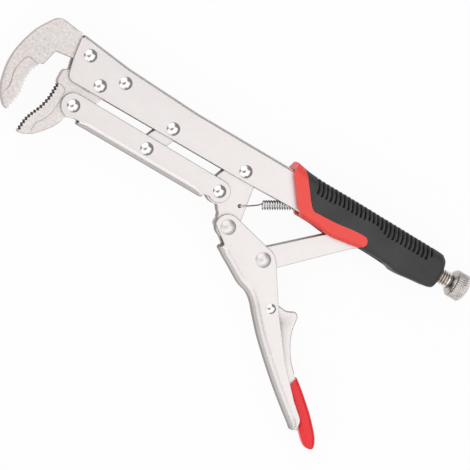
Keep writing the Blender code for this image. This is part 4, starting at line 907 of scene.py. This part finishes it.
# The tooth walls' near-black tone below is painted shade.
TOOTH_SHADE_TOP = ORIGIN.y + JAW_DROP * MOVING_BITE_SHARES[0][1]
TOOTHED = finish("blasted_toothed_forging", ((0.69, 0.64, 0.62), (0.95, 0.89, 0.87)), (0.42, 0.52), 1.0,
                 (620.0, 2.2), (900.0, 0.7), (0.9, 0.1), worn_and_highlit=(0.9, 0.87, 0.86),
                 flank_shade=(0.75, 0.73, 0.72), tooth_shade=(TOOTH_SHADE_TOP, TOOTH_SHADE_TOP + TOOTH_SHADE_FADE, (0.05, 0.046, 0.044)))
POLISHED = finish("polished_rivet", ((0.82, 0.79, 0.78), (0.89, 0.87, 0.86)), (0.18, 0.22), 1.0,
                  (160.0, 1.0), (1800.0, 0.2), (0.15, 0.01))
SATIN_RIVET = finish("satin_rivet", ((0.82, 0.79, 0.78), (0.88, 0.855, 0.845)), (0.4, 0.46), 1.0,
                     (160.0, 1.0), (1800.0, 0.2), (0.2, 0.015))
SPRING_WIRE = finish("drawn_wire", ((0.66, 0.64, 0.63), (0.82, 0.8, 0.79)), (0.14, 0.22), 1.0,
                     (300.0, 1.5), (2400.0, 0.0), (0.25, 0.01), flank_shade=(0.3, 0.28, 0.28))
# The cuts' tones on the screw and the knob are painted shade in thread roots and knurl grooves.
MACHINED = finish("machined_screw", ((0.74, 0.68, 0.64), (0.9, 0.85, 0.82)), (0.2, 0.28), 1.0,
                  (200.0, 1.5), (2000.0, 0.1), (0.25, 0.015),
                  cuts=("Roots", {"Root": THREAD_DARK_R, "Crest": THREAD_BRIGHT_R},
                        (0.34, 0.25, 0.2)))
KNURLED = finish("knurled_knob", ((0.86, 0.82, 0.80), (0.96, 0.92, 0.9)), (0.22, 0.3), 1.0,
                 (180.0, 1.5), (2200.0, 0.3), (0.3, 0.02), worn_and_highlit=(0.95, 0.92, 0.9),
                 neck=(KNOB_NECK_END, KNOB_NECK_END + KNOB_NECK_FADE, (0.64, 0.54, 0.48)),
                 cuts=("Diamonds", {}, (0.5, 0.46, 0.44)))
# The lighter edge tones are part wear, part painted highlight, most of all on the red and black mouldings.
RED_GRIP = finish("red_elastomer", ((0.98, 0.07, 0.055), (1.0, 0.09, 0.075)), (0.42, 0.5), 0.0,
                  (90.0, 1.4), (1700.0, 0.3), (0.3, 0.03), worn_and_highlit=(1.0, 0.2, 0.18))
# The near-black tone in the grip's hollows is painted shade.
BLACK_GRIP = finish("black_elastomer", ((0.024, 0.024, 0.025), (0.058, 0.058, 0.059)), (0.5, 0.62), 0.0,
                    (45.0, 2.2), (1300.0, 0.5), (0.5, 0.04), worn_and_highlit=(0.12, 0.12, 0.12),
                    deep=(0.497, 0.475, (0.002, 0.002, 0.002)))
RED_DIP = finish("dipped_vinyl", ((0.96, 0.012, 0.022), (1.0, 0.02, 0.032)), (0.2, 0.28), 0.0,
                 (120.0, 1.2), (500.0, 0.1), (0.2, 0.03))


# Rivets

def dome(seat, size, shank_r):
    """Half a rivet's profile: the shank, the head's short rim and its round dome."""
    head_r, rise = size
    crown = rise - RIVET_RIM
    ball = (head_r ** 2 + crown ** 2) / (2 * crown)
    open_angle = asin(head_r / ball)
    profile = [(seat, shank_r), (seat, head_r - RIVET_RIM / 2), (seat + RIVET_RIM / 2, head_r)]
    for step in range(RIVET_DOME_STEPS):
        turn = open_angle * (1 - step / RIVET_DOME_STEPS)
        profile.append((seat + rise - ball * (1 - cos(turn)), ball * sin(turn)))
    profile.append((seat + rise, head_r * RIVET_TIP_SHARE))
    return profile


def rivet(name, place, size, body, look, shank_r=RIVET_SHANK_R):
    half = dome(CHANNEL_HALF + RIVET_SEAT, size, shank_r)
    profile = [(-height, radius) for height, radius in reversed(half)] + half
    data = as_data(turned(profile, RIVET_STEPS, in_middle(place)))
    piece(name + "_domed", data, look, body, name)


JAW_RIVETS = spots((JAW_PIVOT.x - JAW_RIVET_FRONT[0], JAW_RIVET_FRONT[1]),
                   (JAW_PIVOT.x + JAW_RIVET_REAR[0], JAW_RIVET_REAR[1]))


def make_rivets():
    for name, place, body in (
            ("fixed_jaw_front_rivet", JAW_RIVETS[0], "frame"),
            ("fixed_jaw_rear_rivet", JAW_RIVETS[1], "frame"),
            ("jaw_pivot_rivet", JAW_PIVOT, "frame"),
            ("mid_link_upper_rivet", MID_PIVOT, "frame"),
            ("crank_pivot_rivet", CRANK_PIVOT, "frame"),
            ("link_bar_front_rivet", BAR_FRONT, "link_bar"),
            ("link_bar_middle_rivet", BAR_MIDDLE, "link_bar"),
            ("link_bar_rear_rivet", BAR_REAR, "link_bar")):
        rivet(name, place, FRAME_RIVET, body, POLISHED)
    rivet("lever_pivot_rivet", LEVER_PIVOT, LEVER_RIVET, "lever", SATIN_RIVET)
    rivet("toggle_rivet", TOGGLE_PIVOT, LEVER_RIVET, "lever", SATIN_RIVET)
    rivet("release_lever_rivet", RELEASE_PIVOT, SMALL_RIVET, "lever", POLISHED, SMALL_RIVET_SHANK_R)


# Upper frame

def frame_top():
    """The frame's back, from the nose to the tail."""
    nose_x = JAW_PIVOT.x - FRAME_NOSE * FRAME_NOSE_SHARES[0][0]
    knee = (nose_x + FRAME_TAPER * FRAME_KNEE_SHARE,
            FRAME_RISE + (FRAME_NOSE_RISE - FRAME_RISE) * FRAME_KNEE_RISE_SHARE)
    level = (nose_x + FRAME_TAPER, FRAME_RISE)
    return spots((nose_x, FRAME_NOSE_RISE), knee, level, (FRAME_TAIL, FRAME_RISE))


def make_upper_frame():
    nose, knee, level, tail = frame_top()
    spine = [nose] + round_corner(nose, knee, level, KNEE_R, KNEE_STEPS)
    spine += round_corner(knee, level, tail, KNEE_R, KNEE_STEPS) + [tail]
    face = scaled(FRAME_NOSE_SHARES[1:], -FRAME_NOSE, FRAME_NOSE_RISE, JAW_PIVOT)
    chin = Vector((JAW_PIVOT.x - FRAME_NOSE * FRAME_CHIN_SHARE, -FRAME_FALL))
    rest = spots((FRAME_TAIL, -FRAME_REAR_FALL), (0.0, -FRAME_MIDDLE_FALL))
    front = [nose] + face + [chin, rest[1]]
    for index, radius in ((3, NOSE_CORNER_R), (2, NOSE_FACE_R), (1, NOSE_TOP_R)):
        rest += round_corner(front[index + 1], front[index], front[index - 1], radius, CORNER_STEPS)
    data = folded_channel(rest, spine, -1.0, FRAME_BEND)
    left = ANCHOR_X - ANCHOR_EAR_LENGTH / 2
    right = ANCHOR_X + ANCHOR_EAR_LENGTH / 2
    top = FRAME_RISE - SHEET / 2
    low = FRAME_RISE - SHEET - ANCHOR_EAR_DEPTH
    ear = spots((left, top), (left, low), (right, low), (right, top))
    data = cut(data, [plate(ear, SHEET / 2)], 'UNION')
    data = cut(data, holes([JAW_PIVOT, MID_PIVOT, CRANK_PIVOT] + JAW_RIVETS) + holes([ANCHOR], HOOK_HOLE_R))
    piece("frame_pressing", data, PLATED, "frame", "upper_frame")


# Jaws

def forged_jaw(name, body, blade, pad, pivots, look):
    """A jaw forging: its blade, the thicker pad behind its teeth and its rivet holes."""
    data = cut(as_data(soft_plate(blade, FILLER_HALF)), [soft_plate(pad, FILLER_HALF + PAD_PROUD)], 'UNION')
    piece(name + "_forging", cut(data, holes(pivots)), look, body, name)


def make_fixed_jaw():
    ceiling = aside(frame_top()[:3], -SHEET - SEAT_GAP)
    slope = (ceiling[0].y - ceiling[1].y) / (ceiling[1].x - ceiling[0].x)
    nose_x = JAW_PIVOT.x - FRAME_NOSE - SEAT_GAP
    tail_x = JAW_PIVOT.x + TAIL_LENGTH
    tail = spots(*((x, ceiling[0].y + (ceiling[0].x - x) * slope) for x in (tail_x, nose_x)))
    throat = jaw_points(FIXED_THROAT_SHARES)
    shelf = JAW_LOBE_R + TAIL_CLEAR
    rear_low = JAW_RIVET_REAR[1] - HOLE_R - SHEET * TAIL_SHEETS
    under = spots(
        (JAW_PIVOT.x - shelf, throat[-1].y), (JAW_PIVOT.x - JAW_LOBE_R, shelf),
        (JAW_PIVOT.x + JAW_LOBE_R * SHELF_SHARE, shelf), (JAW_PIVOT.x + shelf, rear_low), (tail_x, rear_low))
    back = jaw_curve(FIXED_BACK_SHARES, steps=5)
    bite = jaw_curve(FIXED_BITE_SHARES, steps=4)
    inset = [point - Vector((BITE_INSET, 0.0)) for point in bite[BITE_UNDER_THROAT:]]
    body = [(tail + spots((nose_x, back[0].y)), 0.0), (back[:-BACK_UNDER_PAD], JAW_EDGE), (inset, 0.0),
            (throat, JAW_EDGE), (under, 0.0)]
    pad_back = jaw_curve(FIXED_PAD_SHARES, steps=4)
    pad = [(pad_back[1:-1], PAD_EDGE), (pad_back[-1:] + teeth_along(bite) + pad_back[:1], 0.0)]
    forged_jaw("fixed_jaw", "frame", body, pad, JAW_RIVETS, FORGED)


def make_moving_jaw():
    head = jaw_points(MOVING_HEAD_SHARES)
    bite = jaw_curve(MOVING_BITE_SHARES, steps=4)
    tip = jaw_points(MOVING_TIP_SHARES)
    heel = jaw_curve(MOVING_HEEL_SHARES, steps=3)
    inset = [point + Vector((BITE_INSET, 0.0)) for point in bite[::-1]]
    start = head[0] - JAW_PIVOT
    top = arc(JAW_PIVOT, JAW_LOBE_R, atan2(start.y, start.x), LINK_SIDE, steps=16)
    foot = arc(BAR_FRONT, JAW_LOBE_R, LINK_SIDE, LINK_SIDE - MOVING_FOOT_SWEEP, steps=8)
    body = [(top + foot, 0.0), (heel[::-1] + tip[::-1], JAW_EDGE), (inset, 0.0), (head[:0:-1], JAW_EDGE)]
    pad = [(teeth_along(bite), 0.0), (tip[:2] + jaw_curve(MOVING_PAD_SHARES, steps=4), PAD_EDGE)]
    forged_jaw("moving_jaw", "moving_jaw", body, pad, (JAW_PIVOT, BAR_FRONT), TOOTHED)


# Linkage

def flat_link(name, body, node_name, outline, cuts):
    data = cut(as_data(soft_plate([(outline, PLATE_EDGE)], FILLER_HALF)), cuts)
    piece(name, data, PLATED, body, node_name)


def make_link_bar():
    start = Vector((BAR_FRONT.x + BAR_SPINE_SETBACK, BAR_FRONT.y - BAR_FALL))
    end = Vector((BAR_REAR.x - BAR_SPINE_SETBACK, BAR_REAR.y - BAR_FALL))
    spine = [start + (end - start) * step / BAR_STEPS for step in range(BAR_STEPS + 1)]
    front = arc(BAR_FRONT, BAR_FRONT_EAR_R, pi / 2, BAR_EAR_END, steps=24)
    rear = arc(BAR_REAR, BAR_REAR_EAR_R, 3 * pi - BAR_EAR_END, 2.5 * pi, steps=20)
    data = folded_channel(rear + front, spine, 1.0, BAR_BEND)
    data = cut(data, holes((BAR_FRONT, BAR_MIDDLE, BAR_REAR)))
    piece("link_bar_pressing", data, PLATED, "link_bar", "link_bar")


def make_mid_link():
    outline = arc(MID_PIVOT, MID_LINK_R, LINK_SIDE, LINK_SIDE + pi, steps=18)
    outline += arc(BAR_MIDDLE, MID_LINK_R, LINK_SIDE + pi, LINK_SIDE + 2 * pi, steps=18)
    flat_link("mid_link_plate", "mid_link", "mid_link", outline, holes((MID_PIVOT, BAR_MIDDLE)))


def make_crank():
    along = LEVER_PIVOT - BAR_REAR
    across = Vector((along.y, -along.x))
    outline = arc(CRANK_PIVOT, CRANK_HEAD_R, CRANK_EDGE_TURN, LINK_SIDE + pi, steps=20)
    outline += arc(BAR_REAR, CRANK_MIDDLE_R, LINK_SIDE + pi, CRANK_MIDDLE_END, steps=12)
    outline += curve_through([BAR_REAR + along * x + across * y for x, y in CRANK_NECK_SHARES], steps=3)
    outline += arc(LEVER_PIVOT, CRANK_FOOT_R, CRANK_FOOT_START, 2 * pi + CRANK_EDGE_TURN, steps=24)
    cuts = holes((CRANK_PIVOT, BAR_REAR, LEVER_PIVOT)) + holes([HOOK_HOLE], HOOK_HOLE_R)
    flat_link("crank_plate", "crank", "crank", outline, cuts)


def make_operating_lever():
    spine = [lever_point(x, y) for x, y in curve_through(LEVER_SPINE_SHARES, steps=4)]
    ear = arc(LEVER_PIVOT, LEVER_EAR_R, LEVER_HANG + LEVER_EAR_TOP, LEVER_HANG + LEVER_EAR_SIDE, steps=14)
    open_side = [lever_point(x, y) for x, y, r in LEVER_OPEN_SHARES]
    corners = [aside(spine, SMALLEST_BEND)[-1]] + open_side + ear[:1]
    rest = []
    for before, corner, after, shares in zip(corners, corners[1:], corners[2:], LEVER_OPEN_SHARES):
        rest += round_corner(before, corner, after, shares[2] * LEVER_DEPTH, CORNER_STEPS)
    data = folded_channel(rest + ear + [lever_point(*LEVER_NOTCH_SHARES)], spine, 1.0, LEVER_BEND)
    data = cut(data, holes((LEVER_PIVOT, TOGGLE_PIVOT)) + holes([RELEASE_PIVOT], PIN_HOLE_R))
    piece("lever_pressing", data, PLATED, "lever", "operating_lever")


def make_toggle():
    shoulder = TOGGLE_LENGTH * TOGGLE_SHOULDER_SHARE
    high = round_corner(in_toggle(0.0, TOGGLE_HEAD_R), in_toggle(shoulder, TOGGLE_TOP),
                        in_toggle(TOGGLE_LENGTH, TOGGLE_TAIL_R), TOGGLE_SHOULDER_R, steps=6)
    outline = arc(TOGGLE_PIVOT, TOGGLE_HEAD_R, TOGGLE_LEAN + TOGGLE_HEAD_START,
                  TOGGLE_LEAN + TOGGLE_HEAD_END, steps=18)
    outline += [in_toggle(shoulder, -TOGGLE_BELLY)]
    outline += arc(TOGGLE_TAIL, TOGGLE_TAIL_R, TOGGLE_LEAN - pi / 2, TOGGLE_LEAN + pi / 2, steps=16)
    outline += high[::-1]
    flat_link("toggle_bar", "toggle", "toggle_link", outline, holes([TOGGLE_PIVOT]))


# Release lever and its sleeve

def make_release_lever():
    around = curve_through(release_points(SLEEVE_TOP_SHARES + SLEEVE_BELLY_SHARES[1:]), steps=2)
    tip = 2 * (len(SLEEVE_TOP_SHARES) - 1)
    top = around[:tip + 1]
    belly = around[tip:]
    inset = SLEEVE_WALL + SEAT_GAP
    core_top = aside(top, -inset)[:-SLEEVE_CORE_TIP[0]]
    core_belly = aside(belly, -inset)[SLEEVE_CORE_TIP[1]:]
    back = curve_through(release_points(RELEASE_TOP_SHARES), steps=3)
    underside = [in_lever(RELEASE_ALONG + RELEASE_BOSS_R * RELEASE_UNDER_SHARES[0],
                          RELEASE_RISE + RELEASE_BOSS_R * RELEASE_UNDER_SHARES[1])]
    boss = arc(RELEASE_PIVOT, RELEASE_BOSS_R, LEVER_HANG + RELEASE_BOSS_START,
               LEVER_HANG + RELEASE_BOSS_END, steps=12)
    blade = soft_plate([(back, RELEASE_EDGE), (core_top + core_belly + underside, 0.0), (boss, RELEASE_EDGE)],
                       RELEASE_HALF)
    hub = [RELEASE_PIVOT + spot for spot in circle(RELEASE_BOSS_R * RELEASE_HUB_SHARE, HOLE_STEPS)]
    data = cut(cut(as_data(blade), [plate(hub, FILLER_HALF)], 'UNION'), holes([RELEASE_PIVOT], PIN_HOLE_R))
    piece("release_lever_blade", data, PLATED, "release", "release_lever")
    make_sleeve(top, belly[::-1])


def make_sleeve(top, belly):
    """The dipped sleeve: a thick soft plate, cut square at its mouth and hollow for the blade."""
    mouth = (top[0] - top[1]).normalized() * OVERRUN
    outline = [top[0] + mouth] + top + belly[-2::-1] + [belly[0] + mouth]
    stretches = []
    for point in outline:
        edge = SLEEVE_TIP_EDGE + (point - top[-1]).length * SLEEVE_EDGE_GROWTH
        stretches.append(([point], min(edge, SLEEVE_EDGE)))
    body = soft_plate(stretches, SLEEVE_HALF, SLEEVE_STEPS)
    high = top[0] * 2 - belly[0]
    low = belly[0] * 2 - top[0]
    beyond = [high, high + mouth * 2, low + mouth * 2, low]
    inner_top = aside(top, -SLEEVE_WALL)[:-SLEEVE_POCKET_TIP]
    inner_belly = aside(belly, SLEEVE_WALL)[:-SLEEVE_POCKET_TIP][::-1]
    pocket = [inner_top[0] + mouth] + inner_top + inner_belly + [inner_belly[-1] + mouth]
    data = cut(as_data(body), [plate(beyond, SLEEVE_HALF * 2), plate(pocket, RELEASE_HALF + SEAT_GAP)])
    data = worked(data, [softened(SLEEVE_LIP, SLEEVE_LIP_ANGLE)])
    piece("release_sleeve_dipped", data, RED_DIP, "release", "release_lever_sleeve", smooth=50.0)


# Adjusting screw and knob

def make_screw():
    """A thread as heights over a turned blank, fading out at the tip and at the knob's neck."""
    start = TOGGLE_TAIL_X + TOGGLE_TAIL_R + SCREW_TIP_GAP
    end = KNOB_FRONT - SEAT_GAP
    rows = round((end - start) / SCREW_PITCH * SCREW_ROWS_PER_TURN)
    rings = []
    for row in range(rows + 1):
        x = start + (end - start) * row / rows
        fade = min(1.0, (x - start) / SCREW_PITCH)
        neck = min(1.0, max(0.0, (x - end) / SCREW_NECK + SCREW_NECK_LEAD) * SCREW_NECK_STEEPNESS)
        radii = []
        for step in range(SCREW_STEPS):
            wave = cos(2 * pi * (x / SCREW_PITCH - step / SCREW_STEPS))
            crest = ((1 + wave) / 2) ** THREAD_ROUNDNESS
            radius = SCREW_CORE_R + (SCREW_R - SCREW_CORE_R) * crest * fade
            radii.append(radius + (SCREW_NECK_R - radius) * neck)
        rings.append(axis_ring(x, radii))
    data = cut(as_data(skin(rings)), [bored(SPIGOT_R, end, (-SCREW_PITCH, KNOB_LENGTH / 2))], 'UNION')
    piece("adjusting_screw_thread", data, MACHINED, "screw", "adjusting_screw", smooth=80.0)


def knurl(turn_share, x):
    """The depth of a diamond knurl, from 0 on a diamond to 1 in a groove."""
    around = turn_share * KNURL_COUNT
    ahead = abs(2 * ((around + x / KNURL_PITCH) % 1.0) - 1)
    back = abs(2 * ((around - x / KNURL_PITCH) % 1.0) - 1)
    return max(ahead, back)


def make_knob():
    steps = KNURL_COUNT * KNURL_STEPS
    profile = [(x * KNOB_LENGTH, r * KNOB_R, 0.0) for x, r in KNOB_FRONT_SHARES]
    first, last = profile[-1][0], KNOB_BACK_SHARES[0][0] * KNOB_LENGTH
    rows = round((last - first) / (KNURL_PITCH / KNURL_STEPS))
    for row in range(1, rows):
        profile.append((first + (last - first) * row / rows, KNOB_FRONT_SHARES[-1][1] * KNOB_R, KNURL_DEPTH))
    profile += [(x * KNOB_LENGTH, r * KNOB_R, 0.0) for x, r in KNOB_BACK_SHARES]
    rings = []
    for x, radius, depth in profile:
        radii = [radius - depth * knurl(step / steps, x) for step in range(steps)]
        rings.append(axis_ring(KNOB_FRONT + x, radii))
    bore = bored(SPIGOT_R + SEAT_GAP, KNOB_FRONT, (-OVERRUN, KNOB_LENGTH / 2 + SEAT_GAP))
    data = cut(as_data(skin(rings)), [bore])
    piece("adjusting_knob_knurled", data, KNURLED, "knob", "adjusting_knob", smooth=25.0)


# Tension spring

def spring_path():
    """The wire from the crank's hole, through the coil, to the ear in the frame."""
    start = in_middle(HOOK_HOLE)
    goal = in_middle(ANCHOR)
    along = (goal - start).normalized()
    up = Vector((0.0, 0.0, 1.0))
    across = up.cross(along)
    out = FILLER_HALF + SEAT_GAP + WIRE / 2
    back = SHEET / 2 + SEAT_GAP + WIRE / 2
    coil_start = start + along * SPRING_LEAD + across * SPRING_LIFT
    coil_length = SPRING_PITCH * SPRING_CURLS
    coil_end = coil_start + along * coil_length
    inside = up * FILLER_HALF * HOOK_PASS_SHARE
    hook = [start - up * out - across * HOOK_TAIL, start - up * out, start - inside, start + inside,
            start + up * out, start + along * HOOK_REACH + up * out, coil_start - along * COIL_LEAD]
    coil = []
    points = SPRING_CURLS * CURL_POINTS
    for step in range(points + 1):
        turn = 2 * pi * step / CURL_POINTS
        grow = min(1.0, 2 * step / CURL_POINTS, 2 * (points - step) / CURL_POINTS)
        radius = SPRING_R * max(grow, LEAST_CURL_SHARE)
        centre = coil_start + along * (coil_length * step / points)
        coil.append(centre + (across * cos(turn) + up * sin(turn)) * radius)
    tail = [coil_end + along * COIL_LEAD, goal - along * TAIL_REACH + up * back,
            goal - along * WIRE + up * back, goal + up * back, goal - up * back,
            goal - up * back + across * HOOK_TAIL]
    return curve_through(hook, steps=4) + coil + curve_through(tail, steps=4)


def tube(path, radius, steps):
    """A round wire swept along a path, its sections carried along without twist."""
    rings = []
    side = None
    for index, point in enumerate(path):
        along = (path[min(index + 1, len(path) - 1)] - path[max(index - 1, 0)]).normalized()
        side = along.orthogonal() if side is None else side - along * side.dot(along)
        side.normalize()
        other = along.cross(side)
        rings.append([point + side * spot.x + other * spot.y for spot in circle(radius, steps)])
    return skin(rings)


def make_spring():
    data = as_data(tube(spring_path(), WIRE / 2, WIRE_STEPS))
    spring = piece("tension_spring_coil", data, SPRING_WIRE, None, "tension_spring", smooth=60.0)
    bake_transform(spring)


# Grip

GRIP_STATIONS = curve_through(GRIP_STATION_SHARES, steps=16)


def station_at(x):
    """The grip's (rise, fall, side) shares at a place along the tool."""
    share = min(max(x / GRIP_END, GRIP_STATIONS[0][0]), GRIP_STATIONS[-1][0])
    return between_stations(GRIP_STATIONS, share)


def grip_ring(x, inset):
    """A rounded rectangle across the grip."""
    rise, fall, side = station_at(x)
    top = FRAME_RISE + rise * GRIP_WALL - inset
    low = -FRAME_REAR_FALL - fall * GRIP_WALL + inset
    half = CHANNEL_HALF + min(side, 1.0) * GRIP_SIDE_WALL - inset
    largest = min(half * GRIP_CORNER_WIDEST, (top - low) * GRIP_CORNER_TALLEST)
    radii = [min(GRIP_SIDE_WALL * share, largest) for share in GRIP_CORNER_SHARES]
    centres = spots((half - radii[0], top - radii[0]), (radii[1] - half, top - radii[1]),
                    (radii[2] - half, low + radii[2]), (half - radii[3], low + radii[3]))
    ring = []
    for index, centre in enumerate(centres):
        turn = pi / 2 * index
        ring += arc(centre, radii[index], turn, turn + pi / 2, GRIP_CORNER_STEPS)
        start = ring[-1]
        end = centres[(index + 1) % 4] + polar(radii[(index + 1) % 4], turn + pi / 2)
        count = GRIP_FLAT_STEPS[index]
        ring += [start + (end - start) * step / count for step in range(1, count)]
    return [Vector((x, spot.y, spot.x)) for spot in ring]


def groove_share(x, y):
    """How deep a groove is pressed at a place on the grip, from 0 to 1."""
    pitch = GRIP_END * (GROOVE_LAST_SHARE - GROOVE_FIRST_SHARE) / (GROOVE_COUNT - 1)
    over = max(0.0, y - SCREW_RISE - GRIP_HEIGHT * GROOVE_CURL_SHARE)
    bent = x + over ** 2 / (2 * GROOVE_CURL_R)
    index = min(max(round((bent - GROOVE_FIRST) / pitch), 0), GROOVE_COUNT - 1)
    low = SCREW_RISE + GRIP_HEIGHT * between_stations(GROOVE_LOW_SHARES, index / (GROOVE_COUNT - 1))[0]
    reach = hypot(bent - GROOVE_FIRST - index * pitch, max(0.0, low - y))
    share = min(max((GROOVE_WIDTH / 2 - reach) / GROOVE_EDGE, 0.0), 1.0)
    return share * share * (3 - 2 * share)


def grip_blank(grooved):
    first = GROOVE_FIRST - GROOVE_WIDTH * 2
    last = GRIP_END * GROOVE_LAST_SHARE + GROOVE_WIDTH * 2
    end = GRIP_END * GRIP_STATION_SHARES[-1][0]
    places = [GRIP_END * GRIP_STATION_SHARES[0][0]]
    while places[-1] < end:
        step = GRIP_STEP / GRIP_END_FINENESS if places[-1] > last else GRIP_STEP
        if grooved and first < places[-1] < last:
            step = GROOVE_STEP
        places.append(min(places[-1] + step, end))
    rings = []
    for x in places:
        outer = grip_ring(x, 0.0)
        if grooved and first < x < last:
            inner = grip_ring(x, GROOVE_DEPTH)
            outer = [far.lerp(near, groove_share(x, far.y)) for far, near in zip(outer, inner)]
        rings.append(outer)
    return as_data(skin(rings))


def grip_edge(shares):
    """A curve across the grip, and the part of the grip before it."""
    edge = curve_through(scaled(shares, GRIP_END, GRIP_HEIGHT, (0.0, SCREW_RISE)), steps=6)
    left = GRIP_END * GRIP_LEFT_SHARE
    return edge, spots((left, edge[0].y)), spots((left, edge[-1].y))


def grip_hollow():
    """The frame's and the bush's place inside the grip, with the slot that the toggle swings in."""
    top = FRAME_RISE + SEAT_GAP
    end = BUSH_END + SEAT_GAP
    drop = (FRAME_MIDDLE_FALL - FRAME_REAR_FALL) / FRAME_TAIL
    low_end = -FRAME_REAR_FALL - SEAT_GAP
    low_start = low_end - drop * end - SEAT_GAP
    cavity = spots((-OVERRUN, low_start), (end, low_end), (end, top), (-OVERRUN, top))
    slot_end = GRIP_END * GRIP_SLOT_END_SHARE
    low = SCREW_RISE - GRIP_HEIGHT * GRIP_SLOT_DROP
    slot = spots((-OVERRUN, low), (slot_end, low), (slot_end, SCREW_RISE), (-OVERRUN, SCREW_RISE))
    return [plate(cavity, CHANNEL_HALF + SEAT_GAP), plate(slot, CHANNEL_HALF - SHEET + SEAT_GAP)]


def make_grip():
    reach = 2 * CHANNEL_HALF + GRIP_SIDE_WALL
    rim, rim_start, rim_end = grip_edge(GRIP_RIM_SHARES)
    edge, edge_start, edge_end = grip_edge(RED_EDGE_SHARES)
    red = cut(grip_blank(False), [plate(edge_start + edge + edge_end, reach)], 'INTERSECT')
    red = cut(red, [plate(rim_start + rim + rim_end, reach)] + grip_hollow())
    piece("grip_red_moulding", red, RED_GRIP, "frame", "handle_grip_red", smooth=40.0)
    grown = plate(edge_start + aside(edge, SEAM_GAP) + edge_end, reach)
    bore = bored(SCREW_R + 2 * SEAT_GAP, GRIP_END - OVERRUN, (-OVERRUN, 2 * OVERRUN))
    black = cut(grip_blank(True), [grown] + grip_hollow() + [bore])
    piece("grip_black_moulding", black, BLACK_GRIP, "frame", "handle_grip", smooth=40.0)


def dress_bush():
    """The bush stays as packed, inside the grip, and gets the screw's finish."""
    bush = bpy.data.objects["screw_bush"]
    bush.data.materials.clear()
    bush.data.materials.append(MACHINED)


# Studio

def make_floor():
    half = FLOOR_SIZE / 2
    data = bpy.data.meshes.new("floor")
    data.from_pydata([(-half, -half, 0.0), (half, -half, 0.0), (half, half, 0.0), (-half, half, 0.0)], [],
                     [(0, 1, 2, 3)])
    paper = bpy.data.materials.new("pale_floor")
    paper.use_nodes = True
    tree = paper.node_tree
    shader = fill(tree, tree.nodes["Principled BSDF"], {
        "Base Color": (*[FLOOR_TONE] * 3, 1.0), "Roughness": FLOOR_ROUGHNESS, "Specular IOR Level": 0.0})
    rays = node(tree, "LightPath", {}).outputs
    seen = maths(tree, 'MAXIMUM', rays["Is Camera Ray"], rays["Is Glossy Ray"])
    seen = maths(tree, 'MAXIMUM', seen, rays["Is Transmission Ray"])
    white = node(tree, "Emission", {"Color": (1.0, 1.0, 1.0, 1.0), "Strength": 1.0})
    both = node(tree, "MixShader", {
        0: maths(tree, 'MULTIPLY', seen, FLOOR_WHITE_SHARE), 1: shader.outputs[0], 2: white.outputs[0]})
    fill(tree, tree.nodes["Material Output"], {"Surface": both.outputs[0]})
    data.materials.append(paper)
    added("floor", data)


def aimed(name, data, up, back, place):
    """A lamp or camera at a place, with its own up and the direction that lies behind it."""
    thing = added(name, data)
    thing.matrix_world = Matrix((up.cross(back), up, back)).transposed().to_4x4()
    thing.location = place
    return thing


def camera_direction(tilt, turn):
    """The direction that lies tilt degrees from the camera's, towards turn degrees in its picture."""
    right = CAMERA_UP.cross(CAMERA_SIDE)
    away = right * cos(radians(turn)) + CAMERA_UP * sin(radians(turn))
    return CAMERA_SIDE * cos(radians(tilt)) + away * sin(radians(tilt))


def make_light():
    """Large soft lamps over the tool, each where the camera would see its reflection."""
    for name, tilt, turn, width, height, radiance in LAMPS:
        lamp = bpy.data.lights.new(name, 'AREA')
        lamp.shape = 'RECTANGLE'
        lamp.size = width
        lamp.size_y = height
        lamp.energy = radiance * width * height * WATTS_PER_RADIANCE
        direction = camera_direction(tilt, turn)
        away = CAMERA_SIDE - direction * CAMERA_SIDE.dot(direction)
        aimed(name, lamp, away.normalized(), direction, CAMERA_TARGET + direction * LAMP_DISTANCE)
    world = bpy.data.worlds.new("studio")
    bpy.context.scene.world = world
    world.use_nodes = True
    sky = world.node_tree.nodes["Background"]
    fill(world.node_tree, sky, {"Color": (1.0, 1.0, 1.0, 1.0), "Strength": WORLD_LEVEL})


def make_camera():
    lens = bpy.data.cameras.new("camera")
    lens.lens = CAMERA_LENS
    lens.sensor_width = CAMERA_SENSOR
    lens.clip_end = CAMERA_REACH
    place = CAMERA_TARGET + CAMERA_SIDE * CAMERA_DISTANCE
    bpy.context.scene.camera = aimed("camera", lens, CAMERA_UP, CAMERA_SIDE, place)
    bpy.context.scene.view_settings.view_transform = 'Standard'


for make in (make_camera, make_floor, make_light, make_upper_frame, make_fixed_jaw, make_moving_jaw,
             make_link_bar, make_mid_link, make_crank, make_operating_lever, make_toggle,
             make_release_lever, make_screw, make_knob, make_spring, make_grip, make_rivets, dress_bush):
    make()
